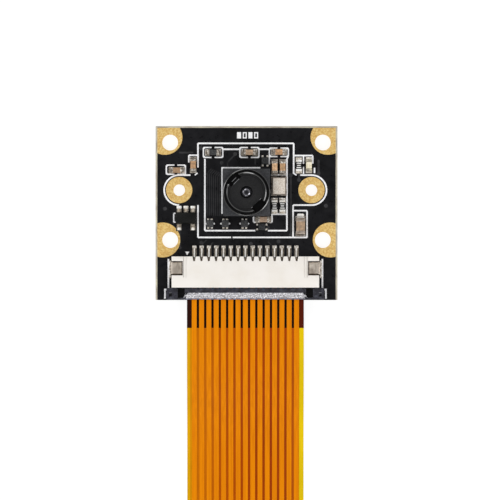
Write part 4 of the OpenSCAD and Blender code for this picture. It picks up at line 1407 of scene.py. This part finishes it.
@dataclass
class Chips:
    """The chip capacitors, resistors, bead and lamp, with wrapped metal ends and concave solder.

    Attributes:
        small: Length and width of a small chip, in millimetres.
        tall: Height of a small capacitor or bead.
        flat: Height of a resistor.
        lamp: Height of the lamp.
        large: Length, width and height of the large capacitor.
        wrap: Length of a metal end.
        large_wrap: The same on the large capacitor.
        metal: Thickness of that metal.
        solder_out: How far the solder reaches past an end.
    """

    small: Pair = (1.6, 0.8)
    tall: float = 0.8
    flat: float = 0.45
    lamp: float = 0.6
    large: Point = (2.2, 1.25, 1.25)
    wrap: float = 0.32
    large_wrap: float = 0.5
    metal: float = 0.03
    solder_out: float = 0.3

    def __post_init__(self) -> None:
        """Takes the level that the parts stand on from the model."""
        self.seat = extent("component_pads")[1].z
        self.fillets: list[Piece] = []

    def solder(self, node: str, size: Point, turn: float, rise: float) -> None:
        """Lays solder that climbs both ends of a chip part in a hollow curve.

        Args:
            node: The part's CAD node.
            size: Length, width and height of the part.
            turn: Degrees that it is turned by.
            rise: How high the solder climbs.
        """
        end, steps = size[0] / 2 - 0.02, 7
        angles = [math.pi / 2 * i / steps for i in range(steps + 1)]
        hollow = [(end + self.solder_out * math.cos(a), self.seat + rise * (1 - math.sin(a))) for a in angles]
        side = size[1] / 2 + 0.02
        wedge = prism_y("wedge", [(end, self.seat - SINK), *hollow], (-side, side))
        places = [(*middle(node), turn + half) for half in (0, 180)]
        self.fillets.append(set_out("solder", soften(wedge, 0.03, above=60), places))

    def chip(self, name: str, node: str, size: Point, turn: float, finish: Finish, wrap: float = 0) -> Piece:
        """One chip part: its body, its metal ends and its solder.

        Args:
            name: Name of the body.
            node: The part's CAD node.
            size: Length, width and height over its metal ends.
            turn: Degrees that it is turned by.
            finish: What the body is made of.
            wrap: Length of a metal end, if it isn't the usual one.

        Returns:
            The metal ends, in place on the bench.
        """
        x, y, z = size[0] / 2, size[1] / 2, self.seat + size[2]
        skin = self.metal
        block = slab("block", (skin - x, skin - y, self.seat + skin), (x - skin, y - skin, z - skin))
        fit(set_out(name, soften(block, 0.05), [(*middle(node), turn)]), finish, node)
        cap = slab("cap", (x - (wrap or self.wrap), -y, self.seat - SINK / 2), (x, y, z))
        soften(cap, min(0.08, size[2] / 5), rounds=3)
        ends = set_out("ends", cap, [(*middle(node), turn + half) for half in (0, 180)])
        self.solder(node, size, turn, size[2] / 2)
        return ends

    def build(self) -> None:
        """Makes every chip part, and joins their ends and their solder."""
        tall, flat = (*self.small, self.tall), (*self.small, self.flat)
        tones = {1: (0, "#9c7c5d"), 2: (90, "#b38c66"), 3: (0, "#b2967b"), 4: (0, "#b88d64"),
                 5: (90, "#d2aa82"), 6: (90, "#b89169"), 7: (0, "#ab917a")}
        ends = []
        for i, (turn, tone) in tones.items():
            node = f"capacitor_{i}"
            ends.append(self.chip(f"ceramic_{node}", node, tall, turn, fired_ceramic(node, tone)))
        # The capacitors' ends carry painted glints as near-white specks
        fit(joined("capacitor_metal_ends", ends), PLATED_ENDS_GLINTS, "capacitor_ends")
        self.large_capacitor()
        nodes = ("resistor_1", "resistor_2", "resistor_3")
        ends = [self.chip(f"thick_film_{node}", node, flat, 90, RESISTOR_GLAZE) for node in nodes]
        # Painted highlight: the resistors' ends are near-white tin
        fit(joined("resistor_metal_ends", ends), TIN_PAINTED_HIGHLIGHT, "resistor_ends")
        self.resistor_marks()
        ends = [self.chip("ferrite_bead_body", "ferrite_bead", tall, 0, FERRITE)]
        # The bead's ends carry painted glints as near-white specks
        fit(joined("bead_metal_ends", ends), PLATED_ENDS_GLINTS, "bead_ends")
        refined("lamp_base", "lamp_ceramic", WHITE_CERAMIC, 0.03, rounds=1)
        refined("indicator_lamp", "lamp_window", CAST_EPOXY, 0.1, rounds=3)
        self.solder("lamp_base", (*self.small, self.lamp), 90, self.lamp / 3)
        fit(joined("chip_solder", self.fillets), SOLDER, "solder_fillets")

    def large_capacitor(self) -> None:
        """The large capacitor, with nickel ends and solder that floods past both of them."""
        node = "large_capacitor"
        finish = fired_ceramic(node, "#a3886d")
        ends = self.chip("ceramic_capacitor_large", node, self.large, 90, finish, self.large_wrap)
        fit(joined("large_metal_ends", [ends]), DULL_NICKEL)
        end = self.large[0] / 2
        flood = slab("flood", (end - 0.06, -0.5, self.seat - SINK), (end + 0.62, 0.5, self.seat + 0.5))
        soften(flood, 0.2, rounds=4)
        # Painted highlight: the flooded solder is near-white tin
        fit(set_out("large_capacitor_solder", flood, [(*middle(node), 90)]), TIN_PAINTED_HIGHLIGHT)

    def resistor_marks(self) -> None:
        """Plain white bars across the resistors, where such parts carry their value."""
        level = self.seat + self.flat - self.metal
        bars = [slab("bar", (-half, y - 0.07, level - SINK), (half, y + 0.07, level + 0.012))
                for y, half in ((-0.3, 0.3), (0, 0.24), (0.3, 0.3))]
        bars = soften(joined("bars", bars), 0.01, rounds=1)
        fit(set_out("resistor_bars", bars, [(*middle(f"resistor_{i}"), 0) for i in (1, 2, 3)]), RESISTOR_INK)


@dataclass
class SmallParts:
    """The regulator, oscillator, chokes and transistors.

    Attributes:
        dimple: Radius and depth of the moulded dimple at the first lead, in millimetres.
        dimple_in: How far its middle lies from both edges.
        lead_pitch: Spacing of the regulator's leads.
    """

    dimple: Pair = (0.12, 0.03)
    dimple_in: float = 0.36
    lead_pitch: float = 0.95

    def moulded(self, node: str, name: str, draft: float, finish: Finish) -> Piece:
        """A moulded body whose sides lean in towards its top.

        Args:
            node: The CAD node of the body.
            name: Name of the piece.
            draft: How far each side leans in.
            finish: What it is made of.

        Returns:
            The body, fitted.
        """
        low, high = extent(node)
        size = high - low
        body = slab(name, tuple(low), tuple(high))
        with editing(body, wanted=lambda point: point.co.z > (low.z + high.z) / 2):
            bpy.ops.transform.resize(value=(1 - 2 * draft / size.x, 1 - 2 * draft / size.y, 1))
        radius, foot, over = self.dimple[0], high.z - self.dimple[1], high.z + 1
        dimple = turned("dimple", [(0, foot), (radius, foot), (radius + 0.02, over), (0, over)], 24)
        cut(body, moved(dimple, (low.x + self.dimple_in, low.y + self.dimple_in)))
        return fit(soften(body, 0.05, above=40), finish, node)

    def lead_solder(self) -> Piece:
        """Solder mounds over the feet of the regulator's leads, three on one side and two on the other.

        Returns:
            The mounds, fitted.
        """
        seat = extent("component_pads")[1].z
        x, y = middle("regulator_body")
        mounds = []
        # Half width of a mound, leads along the row, and the row's distance from the body's middle
        for half, leads, off in ((0.34, (-1, 0, 1), 1.5), (0.22, (-1, 1), -1.45)):
            mound = slab("mound", (-half, -0.2, seat - SINK), (half, 0.2, seat + 0.22))
            places = [(x + i * self.lead_pitch, y + off, 0) for i in leads]
            mounds.append(set_out("mound", soften(mound, 0.09, rounds=3), places))
        # Painted highlight: the mounds are near-white tin
        return fit(joined("regulator_lead_solder", mounds), TIN_PAINTED_HIGHLIGHT)

    def build(self) -> None:
        """Makes the moulded parts and their terminals."""
        self.moulded("regulator_body", "regulator_moulding", 0.12, MOULD_COMPOUND)
        refined("regulator_leads", "gull_wing_leads", TINNED, 0.035)
        self.lead_solder()
        refined("oscillator_base", "oscillator_ceramic", BROWN_CERAMIC, 0.05)
        refined("oscillator_lid", "oscillator_cover", MATT_LID, 0.09, rounds=3)
        for i in (1, 2, 3):
            refined(f"choke_{i}", f"choke_body_{i}", FERRITE, 0.07)
        refined("choke_terminals", "choke_solder_ends", SOLDER, 0.04)
        for i in (1, 2):
            self.moulded(f"transistor_{i}", f"transistor_moulding_{i}", 0.06, GREY_COMPOUND)
        refined("transistor_leads", "transistor_feet", SOLDER, 0.03)


# ---------------------------------------------------------------- studio


@dataclass(frozen=True)
class Lamp:
    """A square soft lamp aimed at the board.

    Attributes:
        name: Its name.
        turn: Degrees about the board, from +X towards +Y.
        tilt: Degrees off the upright.
        size: Its side, in metres.
        power: Its power, in watts.
        reach: Its distance, in metres.
    """

    name: str
    turn: float
    tilt: float
    size: float
    power: float
    reach: float = 0.3

    def hang(self, target: Vector) -> None:
        """Hangs the lamp and aims it.

        Args:
            target: The point that it is aimed at, in metres.
        """
        turn, tilt = math.radians(self.turn), math.radians(self.tilt)
        towards = Vector((math.cos(turn) * math.sin(tilt), math.sin(turn) * math.sin(tilt), math.cos(tilt)))
        deselect()
        facing = towards.to_track_quat("Z", "Y").to_euler()
        bpy.ops.object.light_add(type="AREA", location=target + towards * self.reach, rotation=facing)
        lamp = bpy.context.active_object
        lamp.name = lamp.data.name = self.name
        lamp.data.size = self.size
        lamp.data.energy = self.power


@dataclass
class Studio:
    """A white table, a sky that is darker overhead, and soft lamps around.

    Attributes:
        overhead: Brightness of the sky straight up, where a camera hangs.
        around: Its brightness everywhere else.
        glow: How much the table glows to the camera, to make its white clean.
        dusk: Height on the sky's unit ball where it starts to darken, and where it is darkest.
        table: Side of the table, in metres.
        under: How far the table lies below the lowest piece, in metres.
    """

    overhead: float = 0.1
    around: float = 0.79
    glow: float = 0.88
    dusk: Pair = (0.84, 0.99)
    table: float = 3
    under: float = 0.03 * MM

    def sky(self) -> None:
        """Lights the object from all round, and less from straight above, where a camera stands."""
        world = bpy.data.worlds.new("soft_room")
        world.use_nodes = True
        bpy.context.scene.world = world
        tree = world.node_tree
        up = add(tree, "ShaderNodeTexCoord").outputs["Generated"]
        height = add(tree, "ShaderNodeSeparateXYZ", {"Vector": up}).outputs["Z"]
        start, end = self.dusk
        limits = {"From Min": start, "From Max": end, "To Min": self.around, "To Max": self.overhead}
        level = add(tree, "ShaderNodeMapRange", {"Value": height, **limits}, interpolation_type="SMOOTHSTEP")
        tree.links.new(level.outputs["Result"], tree.nodes["Background"].inputs["Strength"])
        tree.nodes["Background"].inputs["Color"].default_value = linear("#ffffff")

    def floor(self) -> None:
        """The white table, which glows a little to the camera and in mirrors, and keeps its shadows."""
        deselect()
        bpy.ops.mesh.primitive_plane_add(size=self.table, location=(0, 0, -self.under))
        bpy.ops.object.transform_apply(location=True)
        floor = bpy.context.active_object
        floor.name = "white_table"
        paper = bpy.data.materials.new("white_paper")
        paper.use_nodes = True
        tree = paper.node_tree
        tree.nodes.clear()
        ray = add(tree, "ShaderNodeLightPath").outputs
        seen = ray["Is Camera Ray"]
        for kind in ("Is Glossy Ray", "Is Transmission Ray"):
            seen = add(tree, "ShaderNodeMath", {0: seen, 1: ray[kind]}, operation="MAXIMUM").outputs["Value"]
        sheet, shade = [add(tree, "ShaderNodeBsdfDiffuse", {"Color": linear(tone)}).outputs["BSDF"]
                        for tone in ("#e1e1e1", "#767676")]
        glow = add(tree, "ShaderNodeEmission", {"Strength": self.glow}).outputs["Emission"]
        shown = add(tree, "ShaderNodeAddShader", {0: shade, 1: glow}).outputs["Shader"]
        mix = add(tree, "ShaderNodeMixShader", {0: seen, 1: sheet, 2: shown}).outputs["Shader"]
        add(tree, "ShaderNodeOutputMaterial", {"Surface": mix})
        floor.data.materials.append(paper)

    def build(self) -> None:
        """Sets up the room, its lamps and the plain view of its colours."""
        self.sky()
        self.floor()
        for lamp in (
            Lamp("lamp_behind", 112, 32, 0.08, 0.04),
            Lamp("lamp_right", -30, 33, 0.08, 0.11),
            Lamp("lamp_front", -98, 42, 0.1, 0.13),
            Lamp("lamp_left", 166, 42, 0.1, 0.13),
            Lamp("low_lamp_right", 2, 42, 0.06, 0.015),
        ):
            lamp.hang(Vector((0, 0, 3)) * MM)
        bpy.context.scene.view_settings.view_transform = "Standard"


def main() -> None:
    """Builds the camera module, piece by piece."""
    logging.basicConfig(level=logging.INFO, format="%(message)s")
    for part in (Viewpoint, RibbonCable, Board, Lens, Connector, Chips, SmallParts, Studio):
        part().build()


if __name__ == "__main__":
    main()
